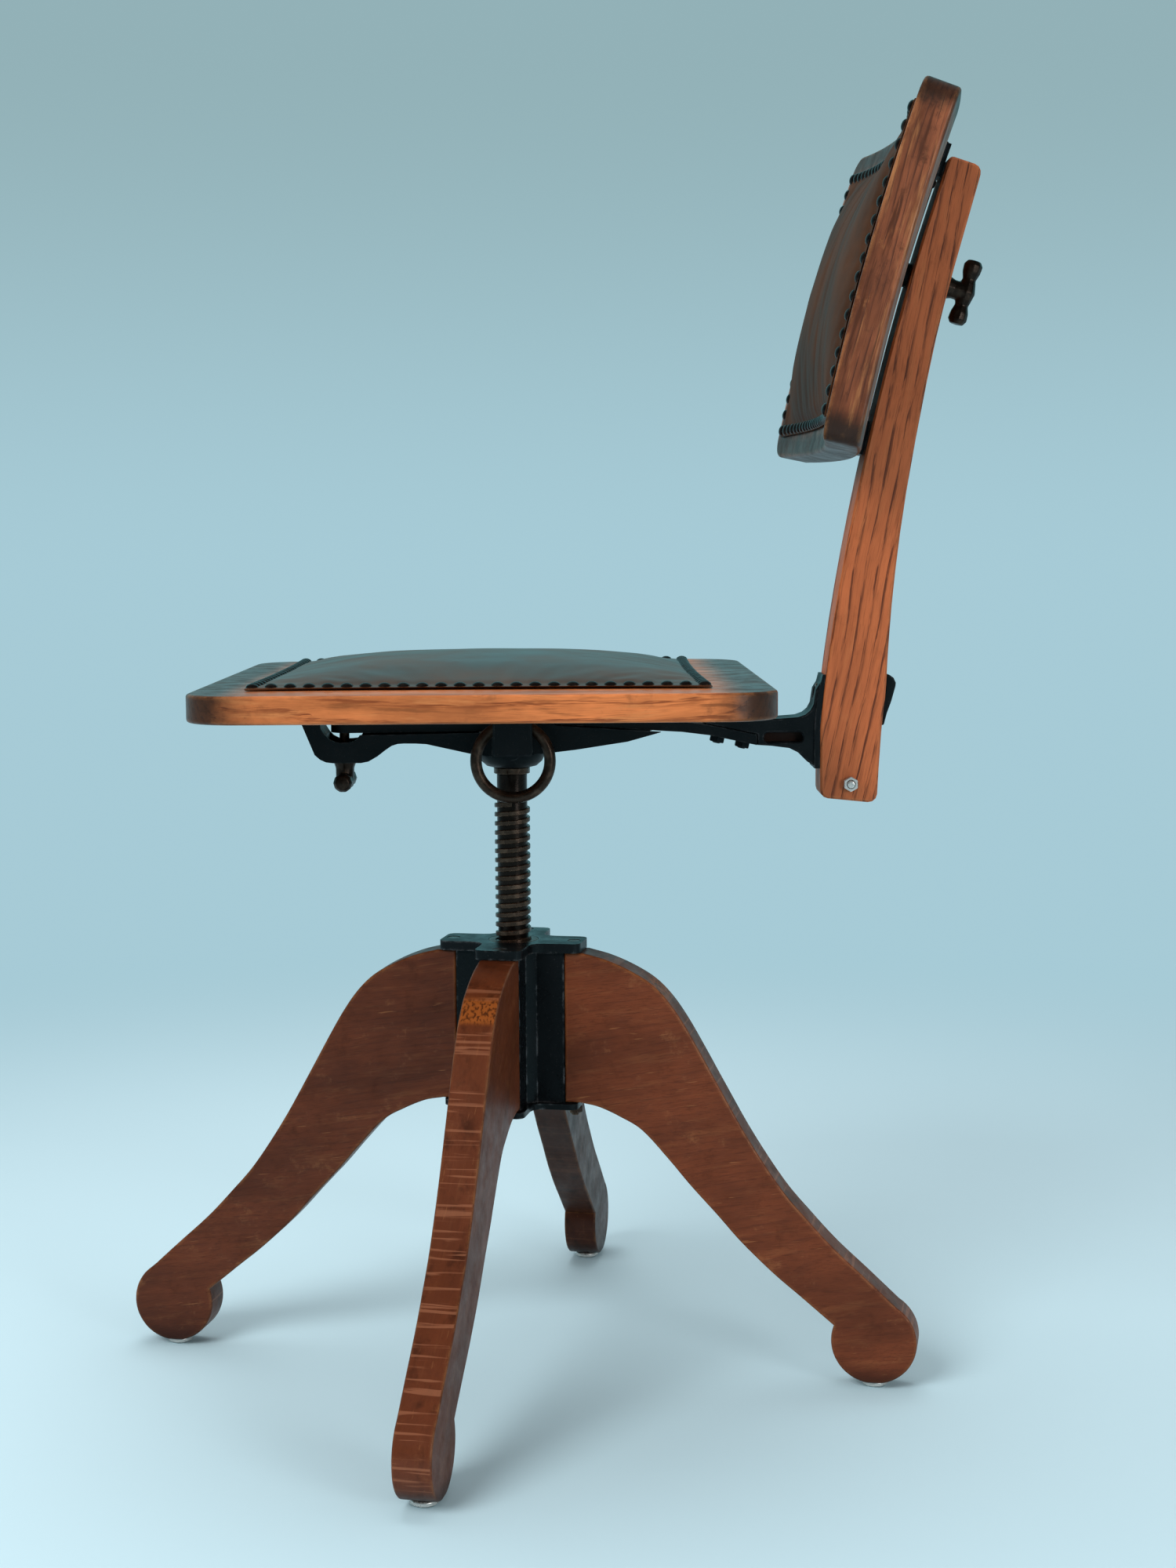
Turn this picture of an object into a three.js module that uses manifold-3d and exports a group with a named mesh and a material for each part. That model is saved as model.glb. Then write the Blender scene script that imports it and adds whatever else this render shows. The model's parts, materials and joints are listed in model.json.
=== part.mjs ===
// Bankers swivel chair: four sawn oak legs on an iron hub, a screw spindle, a leather-padded seat
// on a cast seat iron, and a padded back on a curved post held by a flat steel spring bar.
// Millimetres, +Z up. The front of the chair faces -Y. Z = 0 is the floor. Heights and reaches are
// measured from the spindle's axis, and the whole chair is then centred over its own footprint.
import * as THREE from 'three';
import { mergeVertices } from 'three/addons/utils/BufferGeometryUtils.js';
import Module from 'manifold-3d';

const wasm = await Module();
wasm.setup();

// Clearances shared by every piece
const gap = 0.3; // between faces that bear on each other
const runningGap = 0.6; // beside a piece that swings between two walls
const overrun = 6; // how far a cut runs past the face that it opens
const weld = 0.001; // points closer than this are one point

// Counts of flats on round pieces
const smallSides = 12;
const middleSides = 16;
const largeSides = 24;
const threadSides = 10;
const cornerSteps = 3;
const hexSides = 6;

// Glides
const glideRadius = 10;
const glideFace = 7.5; // radius of the flat that touches the floor
const glideRim = 1.6; // height of the bevel at the floor
const glideThickness = 4.7;
const glidePin = 1.5;
const glidePinLength = 11;

// Legs
const legCount = 4;
const legTurn = THREE.MathUtils.degToRad(-11.68);
const legThickness = 27.5;
const legEdge = 1.8;
const legRootBottom = 209.8;
const legRootHeight = 114.9;
const ballReach = 276; // from the spindle's axis to the middle of the foot
const ballRadius = 32;
const ballFlat = 0.5; // how much the foot is flattened under

// Hub
const hubWebReach = 41.7;
const hubCoreRadius = 25;
const hubWallClearance = 0.8; // round the thread, below the spindle nut
const hubFlangeHalf = 18;
const hubFlangeReach = 54.5;
const hubFlangeCorner = 6;
const hubFlangeFillet = 10;
const topFlangeThickness = 7.2;
const bottomFlangeThickness = 4.5;
const bottomFlangeReach = 52;

// Leg bolts and nuts
const legBoltCircle = 47;
const legBoltRadius = 3;
const legBoltHead = 4.8;
const legBoltHeadThickness = 3;
const legBoltSink = 3.6;
const legNutFlats = 10;
const legNutThickness = 5;
const legBoltTail = 2; // thread showing under the nut

// Spindle, spindle nut, thrust washer and retaining collar
const threadCrest = 13.5;
const threadRoot = 11.5;
const threadPitch = 7;
const threadTurns = 33;
const neckRadius = 11.45;
const neckLength = 18.7;
const shoulderHeight = 458.7; // top of the neck above the floor, at the height in the photograph
const journalRadius = 10;
const journalLength = 29.3;
const nutWall = 5.2;
const nutLength = 45.2;
const washerRadius = 13.65;
const washerThickness = 4.5;
const collarRadius = 15.5;
const collarHeight = 13.7;
const collarNotch = 3;
const collarNotchCount = 2;

// Seat iron
const bowlFoot = 14.3;
const bowlRadius = 25;
const bowlHeight = 26.2;
const bowlFloor = 10.2;
const bowlCavity = 19;
const ironHeight = 49.5; // from the bowl's foot to the underside of the seat
const ironDepth = 44.1; // from the underside of the seat to the bottom of the bolt loop
const ironFrontReach = 162;
const ironRearReach = 112;
const ironFloor = 4;
const cheekThickness = 4;
const cheekRise = 22.1; // from the underside of the seat to the top of the front cheeks
const loopDepth = 28.6; // from the underside of the seat to the bottom of the window in the loop
const rearFloorReach = 91;
const sidePlateReach = 90;
const sidePlateHalf = 21;
const sidePlateThickness = 4;

// Seat screws
const screwReach = 78;
const screwSpread = 12;
const screwRadius = 2.4;
const screwHead = 4.6;
const screwHeadThickness = 2.4;
const screwLength = 15;

// Lock plunger, its spring and its pull ring
const plungerHeight = 17.7; // axis above the bowl's foot
const plungerRadius = 4;
const plungerTip = 3.7;
const plungerCollarRadius = 6.5;
const plungerCollarThickness = 1.5;
const sleeveRadius = 10;
const sleeveReach = 36;
const sleeveWall = 3;
const springRadius = 5.5;
const springWire = 0.45;
const springCoils = 5;
const springBore = 7.3;
const headGap = 0.5;
const headLength = 21;
const headWidth = 29;
const headSide = 2; // how far the head stands towards the back
const headHeight = 29.4;
const headClearance = 3.4; // under the side plate
const headInnerWall = 2.5;
const headOuterWall = 2.9;
const headRoof = 1.7;
const slotHeight = 14.7;
const headEdge = 1.2;
const ringWire = 4.3;
const ringRadius = 27.3;
const ringSideGap = 0.7;

// Spring bar and its fulcrum
const barWidth = 31.4;
const barThickness = 7.6;
const barBow = 5.2;
const barFrontReach = 136;
const barRearReach = 184;
const fulcrumReach = 35;
const fulcrumHalf = 3;
const fulcrumDrop = 16.8; // from the underside of the seat down to the bar's underside
const barTipRadius = 15;
const barEdge = 1;

// Tension bolt and wing nuts
const tensionReach = 126;
const tensionRadius = 3.75;
const tensionClearance = 0.8;
const tensionHead = 7;
const tensionHeadThickness = 3.1;
const tensionHeadGap = 0.5;
const tensionHeadCone = 0.5;
const tensionTail = 18.9; // bolt below the loop
const wingHeight = 22;
const wingSpan = 49;
const wingBossRadius = 8.8;
const wingBossTop = 7;
const wingBossHeight = 13;
const wingLobe = 7.4;
const wingWaist = 5.1;
const wingBoreDepth = 20;

// Seat board and seat pad
const boardThickness = 19.4;
const boardHalfWidth = 220;
const boardFront = 215;
const boardBack = 185;
const boardCorner = 38;
const boardEdge = 2.2;
const seatPadHalfWidth = 172;
const seatPadFront = 178;
const seatPadBack = 142;
const seatPadHem = 2.5;
const seatPadCrown = 16;
const padDraw = 2.5; // how far a pad's sides are drawn in between its corners

// Back post
const postFace = 231.4; // front face at the foot
const postWidth = 36.5;
const postEdge = 1.6;
const postDrop = 77.3; // from the underside of the seat to the foot of the post
const postHeight = 475.5;
const postDepth = 46;
const postTopSlant = 8;
const postBottomSlant = 4.4;
const postCorner = 6.5;
const postSwell = 2.2; // the foot stands this far in front of the arc
const postArcRise = 58; // from the foot of the post to the start of the arc
const postArcRadius = 1715;
const postFootLean = THREE.MathUtils.degToRad(5.16);
const swellRun = 226;

// Back shoe
const shoeReach = 86; // from the post's face to the tip of the plate over the bar
const shoeDrop = 50.8; // from the underside of the seat to the foot of the shoe
const shoeHeight = 70.2;
const shoeFlangeThickness = 4;
const shoeFlangeWidth = 35;
const shoeEdge = 1;
const shoeWindowRound = 3;
const shoePlateSeat = 4.6; // plate left under the bolt heads
const shoeBoltRadius = 3;
const shoeBoltHead = 6;
const shoeBoltHeadThickness = 4;
const shoeNutFlats = 10.5;
const shoeNutThickness = 4.6;
const shoeBoltTail = 0.8;

// Cross bolt through the foot of the post
const crossBoltRise = 14.9; // above the foot of the post
const crossBoltSet = 22.6; // behind the post's face
const crossBoltRadius = 3;
const crossNutFlats = 10;
const crossNutThickness = 5;
const crossBoltHead = 5.6;
const crossBoltHeadThickness = 3.4;
const crossBoltTail = 1.4;

// Clamp plate behind the post and its bolt
const clampRise = 69.9; // from the foot of the shoe to the top of the clamp plate
const clampHeight = 38.2;
const clampThickness = 7.7;
const clampWidth = 24;
const clampBoltRise = 57.5; // above the foot of the shoe
const clampBoltRadius = 3.5;
const clampBoltHead = 5.6;
const clampBoltHeadThickness = 1.6;

// Back board and back pad, on arcs struck from the same centre as the post
const backDrop = 103.34; // from the top of the post to the middle of the back board
const backStandOff = 8.5; // from the post's face to the back board
const backThickness = 26;
const backHalfWidth = 184;
const backLength = 243;
const backSagitta = 16; // the ends stand this far forward of the middle
const backCorner = 15;
const backEdge = 2.4;
const backPadHalfWidth = 170;
const backPadLength = 213;
const backPadHem = 2.5;
const backPadCrown = 20;

// Height track, its bolt and its screws
const trackHalfWidth = 15;
const trackThickness = 4;
const trackUp = 98; // from the track bolt to the top of the track
const trackDown = 136;
const trackLugLength = 25;
const trackLugThickness = 3; // how far a lug stands behind the strap
const trackSlotUp = 52;
const trackSlotDown = 72;
const trackBoltRadius = 3.5;
const trackBoltClearance = 0.6;
const trackBoltHead = 7;
const trackBoltHeadThickness = 3.4;
const trackBoltLift = 19.5; // above the middle of the back board
const trackBoltTail = 15; // thread behind the post
const spacerRadius = 9;
const grooveHalfWidth = 8.5;
const grooveDepth = 6;
const trackScrewRadius = 1.6;
const trackScrewHead = 3.4;
const trackScrewHeadThickness = 1.2;
const trackScrewLength = 9;
const trackScrewSide = 9.5;
const trackScrewEnd = 31; // from the end of the track

// Heights and places that follow from the sizes above
const footHeight = glideThickness + gap;
const ballHeight = footHeight + ballRadius - ballFlat;
const legRootTop = legRootBottom + legRootHeight;
const legRootReach = hubWebReach + gap;
const topFlangeBottom = legRootTop + gap;
const hubTop = topFlangeBottom + topFlangeThickness;
const bottomFlangeTop = legRootBottom - gap;
const hubBottom = bottomFlangeTop - bottomFlangeThickness;
const nutBore = threadCrest + gap;
const nutRadius = nutBore + nutWall;
const washerBottom = shoulderHeight + gap;
const bowlBottom = washerBottom + washerThickness + gap;
const cavityBottom = bowlBottom + bowlFloor;
const bowlTop = bowlBottom + bowlHeight;
const ironTop = bowlBottom + ironHeight;
const boardBottom = ironTop + gap;
const boardTop = boardBottom + boardThickness;
const cheekInner = barWidth / 2 + runningGap;
const cheekOuter = cheekInner + cheekThickness;
const plungerAxis = bowlBottom + plungerHeight;
const tipReach = collarRadius + gap;
const plungerCollarInner = tipReach + plungerTip;
const headInner = sleeveReach + headGap;
const headTop = ironTop - sidePlateThickness - headClearance;
const headBottom = headTop - headHeight;
const slotTop = headTop - headRoof;
const ringAxisHeight = slotTop - gap - ringWire;
const ringAxisReach = headInner + headInnerWall + ringSideGap + ringWire;
const fulcrumHeight = ironTop - fulcrumDrop;
const loopBottom = ironTop - ironDepth;
const postBottom = ironTop - postDrop;
const postArcStart = postBottom + postArcRise;
const shoeBottom = ironTop - shoeDrop;
const crossBoltHeight = postBottom + crossBoltRise;
const clampTop = shoeBottom + clampRise;
const clampBoltHeight = shoeBottom + clampBoltRise;
const backBoardRear = postArcRadius + backStandOff;
const arcCentreY = postFace + postSwell + postArcRadius * Math.cos(postFootLean);
const arcCentreZ = postArcStart - postArcRadius * Math.sin(postFootLean);
const backMiddle = postBottom + postHeight - backDrop;
const backCentreAngle = Math.asin((backMiddle - arcCentreZ) / postArcRadius);

// Shares that shape heads and bosses
const headTopShare = 0.75; // of a head's width, left flat on its top
const headSideShare = 0.4; // of a head's thickness, before it rounds over
const bossWaistShare = 0.8; // of a wing nut's boss, where it narrows
const bossFootShare = 0.4; // of the boss's height, up to there
const lugWidthShare = 0.8; // of the height track's width
const postTopShare = 0.12; // of the post's corner, left behind it at the top

// Shapes

const at = (x, y) => new THREE.Vector2(x, y);
const space = (x, y, z) => new THREE.Vector3(x, y, z);

// Points on an arc, from one angle to another.
function arcPoints(x, y, radius, from, to, steps) {
  return Array.from({ length: steps + 1 }, (_, i) => {
    const angle = from + ((to - from) * i) / steps;
    return at(x + radius * Math.cos(angle), y + radius * Math.sin(angle));
  });
}

// Points on a smooth curve through the given places.
function curvePoints(places, steps) {
  return new THREE.SplineCurve(places.map(([x, y]) => at(x, y))).getPoints(steps);
}

// A closed outline through runs of points, without doubled points.
function outline(...runs) {
  const points = runs.flat().filter((p, i, all) => i === 0 || p.distanceTo(all[i - 1]) > weld);
  if (points[0].distanceTo(points.at(-1)) < weld) points.pop();
  return new THREE.Shape(points);
}

// A closed outline through corners [x, y, radius], each rounded by its radius.
function cornered(corners, steps = cornerSteps) {
  const runs = corners.map(([x, y, radius = 0], i) => {
    const corner = at(x, y);
    if (radius === 0) return [corner];
    const before = at(...corners.at(i - 1)).sub(corner);
    const after = at(...corners[(i + 1) % corners.length]).sub(corner);
    const half = Math.acos(before.dot(after) / before.length() / after.length()) / 2;
    const reach = Math.min(radius / Math.tan(half), before.length() / 2, after.length() / 2);
    const round = reach * Math.tan(half);
    const start = before.clone().setLength(reach).add(corner);
    const end = after.clone().setLength(reach).add(corner);
    const middle = before.normalize().add(after.normalize()).setLength(round / Math.sin(half)).add(corner);
    const from = Math.atan2(start.y - middle.y, start.x - middle.x);
    const to = Math.atan2(end.y - middle.y, end.x - middle.x);
    const sweep = THREE.MathUtils.euclideanModulo(to - from + Math.PI, 2 * Math.PI) - Math.PI;
    return arcPoints(middle.x, middle.y, round, from, from + sweep, steps);
  });
  return outline(...runs);
}

// A plate of the outline, standing on Z = 0, with its edges eased inside the outline.
function plate(shape, thickness, edge = 0) {
  const geometry = new THREE.ExtrudeGeometry(shape, {
    depth: thickness - 2 * edge,
    bevelEnabled: edge > 0,
    bevelThickness: edge,
    bevelSize: edge,
    bevelOffset: -edge,
    bevelSegments: 1,
  });
  return geometry.translate(0, 0, edge);
}

// A plate drawn in side view (Y, Z), centred on X = 0.
function sidePlate(shape, width, edge = 0) {
  const turn = new THREE.Matrix4().makeBasis(space(0, 1, 0), space(0, 0, 1), space(1, 0, 0));
  return plate(shape, width, edge).translate(0, 0, -width / 2).applyMatrix4(turn);
}

// A turned piece about Z, from places [radius, height] listed up its outside.
function turned(places, sides = smallSides) {
  const points = places.map(([radius, height]) => at(radius, height));
  if (THREE.ShapeUtils.area(points) < 0) points.reverse();
  if (!points.some((p) => p.x === 0)) points.push(points[0].clone());
  return new THREE.LatheGeometry(points, sides).rotateX(Math.PI / 2);
}

// A plain round rod along Z.
function rod(radius, from, to, sides = smallSides) {
  return turned([[0, from], [radius, from], [radius, to], [0, to]], sides);
}

// A ring about Z.
function collar(outer, inner, from, to, sides = smallSides) {
  return turned([[inner, from], [outer, from], [outer, to], [inner, to]], sides);
}

const alongX = (geometry) => geometry.rotateY(Math.PI / 2);
const alongY = (geometry) => geometry.rotateX(-Math.PI / 2);

// A box from its lowest to its highest corner.
function block(x0, x1, y0, y1, z0, z1) {
  const box = new THREE.BoxGeometry(x1 - x0, y1 - y0, z1 - z0);
  return box.translate((x0 + x1) / 2, (y0 + y1) / 2, (z0 + z1) / 2);
}

// A tube through rings of points, closed at both ends.
function tube(rings) {
  const sides = rings[0].length;
  const last = (rings.length - 1) * sides;
  const faces = [];
  for (let r = 0; r < last; r += sides) {
    for (let s = 0; s < sides; s += 1) {
      const next = (s + 1) % sides;
      faces.push(r + s, r + next, r + sides + next, r + s, r + sides + next, r + sides + s);
    }
  }
  for (let s = 1; s < sides - 1; s += 1) {
    faces.push(0, s + 1, s, last, last + s, last + s + 1);
  }
  return fromPoints(rings.flat(), faces);
}

// A closed slab between a front and a rear sheet, each a grid of points (column, row).
function slab(columns, rows, front, rear) {
  const wide = columns.length;
  const high = rows.length;
  const points = [front, rear].flatMap((sheet) => rows.flatMap((v) => columns.map((u) => sheet(u, v))));
  const index = (side, i, j) => (side * high + j) * wide + i;
  const faces = [];
  for (let j = 0; j < high - 1; j += 1) {
    for (let i = 0; i < wide - 1; i += 1) {
      const [a, b, c, d] = [index(0, i, j), index(0, i + 1, j), index(0, i + 1, j + 1), index(0, i, j + 1)];
      const shift = wide * high;
      faces.push(a, b, c, a, c, d, a + shift, c + shift, b + shift, a + shift, d + shift, c + shift);
    }
  }
  const rim = [];
  for (let i = 0; i < wide - 1; i += 1) rim.push([i, 0]);
  for (let j = 0; j < high - 1; j += 1) rim.push([wide - 1, j]);
  for (let i = wide - 1; i > 0; i -= 1) rim.push([i, high - 1]);
  for (let j = high - 1; j > 0; j -= 1) rim.push([0, j]);
  rim.forEach(([i, j], k) => {
    const [m, n] = rim[(k + 1) % rim.length];
    faces.push(index(0, i, j), index(1, i, j), index(1, m, n));
    faces.push(index(0, i, j), index(1, m, n), index(0, m, n));
  });
  return fromPoints(points, faces);
}

function fromPoints(points, faces) {
  const geometry = new THREE.BufferGeometry().setFromPoints(points);
  geometry.setIndex(faces);
  return geometry;
}

// Evenly spaced stops from one value to another.
function stops(from, to, count) {
  return Array.from({ length: count + 1 }, (_, i) => from + ((to - from) * i) / count);
}

// One closed skin: shared points joined, empty faces dropped, faces turned outwards.
function closed(source) {
  const bare = source.clone();
  const spare = Object.keys(bare.attributes).filter((name) => name !== 'position');
  spare.forEach((name) => bare.deleteAttribute(name));
  const merged = mergeVertices(bare);
  const corners = merged.getAttribute('position');
  const indices = Array.from(merged.index.array);
  const kept = [];
  let volume = 0;
  for (let i = 0; i < indices.length; i += 3) {
    const [a, b, c] = indices.slice(i, i + 3);
    if (a === b || b === c || c === a) continue;
    kept.push([a, b, c]);
    const [p, q, r] = [a, b, c].map((k) => space(0, 0, 0).fromBufferAttribute(corners, k));
    volume += p.dot(q.cross(r));
  }
  merged.setIndex(kept.map((face) => (volume < 0 ? face.reverse() : face)).flat());
  return merged;
}

function solid(geometry) {
  const skin = closed(geometry);
  return new wasm.Manifold(new wasm.Mesh({
    numProp: 3,
    vertProperties: new Float32Array(skin.getAttribute('position').array),
    triVerts: new Uint32Array(skin.index.array),
  }));
}

function skinOf(body) {
  const mesh = body.getMesh();
  const geometry = new THREE.BufferGeometry();
  geometry.setAttribute('position', new THREE.BufferAttribute(mesh.vertProperties, mesh.numProp));
  geometry.setIndex(new THREE.BufferAttribute(mesh.triVerts, 1));
  return geometry;
}

const join = (...geometries) => skinOf(geometries.map(solid).reduce((a, b) => a.add(b)));
const cut = (body, ...tools) => skinOf(
  tools.map(solid).reduce((rest, tool) => rest.subtract(tool), solid(body)),
);
const common = (a, b) => skinOf(solid(a).intersect(solid(b)));

// A hexagonal nut about Z.
function hexNut(flats, thickness, bore) {
  const shape = cornered(Array.from({ length: hexSides }, (_, k) => {
    const angle = (k * 2 * Math.PI) / hexSides;
    const reach = flats / 2 / Math.cos(Math.PI / hexSides);
    return [reach * Math.cos(angle), reach * Math.sin(angle)];
  }));
  shape.holes.push(new THREE.Path(arcPoints(0, 0, bore, 0, -2 * Math.PI, smallSides).slice(1)));
  return plate(shape, thickness);
}

// Finishes, as colour, roughness and metalness
const darkOak = ['#4a2417', 0.45, 0];
const edgeOak = ['#8a4a25', 0.45, 0];
const blackIron = ['#14171a', 0.55, 0.6];
const bronzedSteel = ['#3a2f29', 0.4, 0.8];
const brightSteel = ['#b9b4aa', 0.3, 0.9];
const brownLeather = ['#4b2c1f', 0.4, 0];

function piece(name, geometry, [color, roughness, metalness]) {
  const skin = closed(geometry);
  skin.computeVertexNormals();
  const finish = new THREE.MeshStandardMaterial({ color, roughness, metalness, flatShading: true });
  const mesh = new THREE.Mesh(skin, finish);
  mesh.name = name;
  return mesh;
}

// Base

// Top and underside of a leg as [share of the reach from root to foot, share of the rise from foot
// to root].
const legTopShares = [
  [0.137, 0.984], [0.214, 0.958], [0.282, 0.925], [0.338, 0.88], [0.389, 0.821], [0.444, 0.744],
  [0.504, 0.656], [0.598, 0.522], [0.701, 0.397], [0.786, 0.317], [0.872, 0.243], [0.974, 0.168],
];
const legUnderShares = [
  [0.769, 0.179], [0.675, 0.283], [0.573, 0.413], [0.496, 0.528], [0.41, 0.652], [0.342, 0.759],
  [0.254, 0.886], [0.182, 0.943], [0.111, 0.984],
];
const ballTopAngle = THREE.MathUtils.degToRad(58);
const ballNotchAngle = THREE.MathUtils.degToRad(-200.3);

function legShape() {
  const run = ballReach - legRootReach;
  const along = (share) => legRootReach + share * run;
  const topRise = legRootTop - ballHeight;
  const underRise = legRootBottom - ballHeight;
  const flatHalf = Math.acos((ballRadius - ballFlat) / ballRadius);
  const ball = (from, to, steps) => arcPoints(ballReach, ballHeight, ballRadius, from, to, steps);
  const onBall = (angle) => [ballReach + ballRadius * Math.cos(angle), ballHeight + ballRadius * Math.sin(angle)];
  const top = curvePoints([
    [hubFlangeReach + legEdge, legRootTop],
    ...legTopShares.map(([r, z]) => [along(r), ballHeight + z * topRise]),
    onBall(ballTopAngle),
  ], 24);
  const under = curvePoints([
    onBall(ballNotchAngle),
    ...legUnderShares.map(([r, z]) => [along(r), ballHeight + z * underRise]),
    [bottomFlangeReach + legEdge, legRootBottom],
  ], 18);
  return outline(
    [at(legRootReach, legRootBottom), at(legRootReach, legRootTop)],
    top,
    ball(ballTopAngle, -Math.PI / 2 + flatHalf, 11),
    ball(-Math.PI / 2 - flatHalf, ballNotchAngle, 8),
    under,
  );
}

function leg(k) {
  const body = plate(legShape(), legThickness, legEdge).rotateX(Math.PI / 2).translate(0, legThickness / 2, 0);
  const boltHole = rod(legBoltRadius + gap, hubBottom, hubTop).translate(legBoltCircle, 0, 0);
  const pinHole = rod(glidePin + gap, 0, footHeight + glidePinLength + gap).translate(ballReach, 0, 0);
  return piece(`leg_${k + 1}`, cut(body, boltHole, pinHole), darkOak);
}

function glide(k) {
  const places = [
    [0, 0], [glideFace, 0], [glideRadius, glideRim], [glideRadius, glideThickness - glideRim / 2],
    [glideRadius - glideRim / 2, glideThickness], [glidePin, glideThickness],
    [glidePin, glideThickness + glidePinLength], [0, glideThickness + glidePinLength],
  ];
  return piece(`glide_${k + 1}`, turned(places, smallSides).translate(ballReach, 0, 0), brightSteel);
}

// A cross in plan, its arm ends rounded and its inner corners filleted.
function cross(half, reach, corner, fillet) {
  const quarter = [[reach, -half, corner], [reach, half, corner], [half, half, fillet]];
  return cornered([0, 1, 2, 3].flatMap((k) => quarter.map(([x, y, radius]) => {
    const turnedPoint = at(x, y).rotateAround(at(0, 0), (k * Math.PI) / 2);
    return [turnedPoint.x, turnedPoint.y, radius];
  })));
}

function hub() {
  const webHeight = topFlangeBottom - bottomFlangeTop + gap * 2;
  const webs = plate(cross(legThickness / 2, hubWebReach, 0, 0), webHeight).translate(0, 0, bottomFlangeTop - gap);
  const core = rod(hubCoreRadius, hubBottom, hubTop - gap, largeSides);
  const topFlange = plate(
    cross(hubFlangeHalf, hubFlangeReach, hubFlangeCorner, hubFlangeFillet),
    topFlangeThickness,
  ).translate(0, 0, topFlangeBottom);
  const bottomFlange = plate(
    cross(hubFlangeHalf, bottomFlangeReach, hubFlangeCorner, hubFlangeFillet),
    bottomFlangeThickness,
  ).translate(0, 0, hubBottom);
  const passage = rod(threadCrest + hubWallClearance, hubBottom - overrun, hubTop + overrun, middleSides);
  const pocket = rod(nutRadius + gap, hubTop - nutLength - gap, hubTop + overrun, largeSides);
  const boltHoles = stops(0, (legCount - 1) * (Math.PI / 2), legCount - 1).flatMap((angle) => [
    rod(legBoltRadius + gap, hubBottom - overrun, hubTop + overrun).translate(legBoltCircle, 0, 0).rotateZ(angle),
    rod(legBoltHead + gap, hubTop - legBoltSink, hubTop + overrun).translate(legBoltCircle, 0, 0).rotateZ(angle),
  ]);
  return piece('hub', cut(join(webs, core, topFlange, bottomFlange), passage, pocket, ...boltHoles), blackIron);
}

function legBolt(k) {
  const headBottom = hubTop - legBoltSink + gap;
  const tail = hubBottom - gap - legNutThickness - legBoltTail;
  const places = [
    [0, tail], [legBoltRadius, tail], [legBoltRadius, headBottom], [legBoltHead, headBottom],
    [legBoltHead, headBottom + legBoltHeadThickness], [0, headBottom + legBoltHeadThickness],
  ];
  return piece(`leg_bolt_${k + 1}`, turned(places).translate(legBoltCircle, 0, 0), bronzedSteel);
}

function legNut(k) {
  const nut = hexNut(legNutFlats, legNutThickness, legBoltRadius + gap);
  nut.translate(legBoltCircle, 0, hubBottom - gap - legNutThickness);
  return piece(`leg_bolt_nut_${k + 1}`, nut, bronzedSteel);
}

function spindleNut() {
  return piece('spindle_nut', collar(nutRadius, nutBore, hubTop - nutLength, hubTop, largeSides), bronzedSteel);
}

function base() {
  const group = new THREE.Group();
  group.rotation.z = legTurn;
  group.add(hub(), spindleNut());
  for (let k = 0; k < legCount; k += 1) {
    const arm = new THREE.Group();
    arm.rotation.z = (k * 2 * Math.PI) / legCount;
    arm.add(leg(k), glide(k), legBolt(k), legNut(k));
    group.add(arm);
  }
  return group;
}

// Spindle

// The square thread's ridge: a flat-topped section that climbs one pitch each turn.
function threadRidge(bottom) {
  const inner = threadRoot * Math.cos(Math.PI / threadSides) - gap;
  const half = threadPitch / 4;
  const rings = stops(0, threadTurns - 1, (threadTurns - 1) * threadSides).map((turn) => {
    const angle = turn * 2 * Math.PI;
    const height = bottom + threadPitch / 2 + turn * threadPitch;
    const section = [[inner, -half], [threadCrest, -half], [threadCrest, half], [inner, half]];
    return section.map(([r, z]) => space(r * Math.cos(angle), r * Math.sin(angle), height + z));
  });
  return tube(rings);
}

function spindle() {
  const neckBottom = shoulderHeight - neckLength;
  const bottom = neckBottom - threadTurns * threadPitch;
  const places = [
    [0, bottom], [threadRoot, bottom], [threadRoot, neckBottom], [neckRadius, neckBottom],
    [neckRadius, shoulderHeight], [journalRadius, shoulderHeight],
    [journalRadius, shoulderHeight + journalLength], [0, shoulderHeight + journalLength],
  ];
  return piece('spindle', join(turned(places, threadSides).rotateZ(Math.PI / 2), threadRidge(bottom)), bronzedSteel);
}

function thrustWasher() {
  const top = washerBottom + washerThickness;
  const ring = collar(washerRadius, journalRadius + gap, washerBottom, top, middleSides);
  return piece('thrust_washer', ring, bronzedSteel);
}

function lockCollar() {
  const bottom = cavityBottom + gap;
  const ring = collar(collarRadius, journalRadius + gap, bottom, bottom + collarHeight, middleSides);
  const notches = stops(0, collarNotchCount - 1, collarNotchCount - 1).map((k) => {
    const reach = collarRadius - collarNotch;
    const top = bottom + collarHeight + gap;
    const notch = block(reach, collarRadius + overrun, -plungerRadius, plungerRadius, bottom - gap, top);
    return notch.rotateZ(Math.PI / 2 + (k * 2 * Math.PI) / collarNotchCount);
  });
  return piece('lock_collar', cut(ring, ...notches), bronzedSteel);
}

// Seat iron

// Lower edges of the arms as [share of the arm's reach, share of the iron's depth].
const frontArmShares = [
  [1, 0], [0.905, 0.86], [0.88, 0.94], [0.853, 0.985], [0.82, 1], [0.692, 1], [0.658, 0.976],
  [0.617, 0.891], [0.579, 0.784], [0.549, 0.71], [0.522, 0.68], [0.494, 0.673], [0.439, 0.675], [0.389, 0.687],
  [0.293, 0.765], [0.191, 0.852], [0.098, 0.906],
];
const rearArmShares = [[0.1, 0.887], [0.22, 0.862], [0.435, 0.799], [0.777, 0.669], [1, 0.513]];
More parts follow.
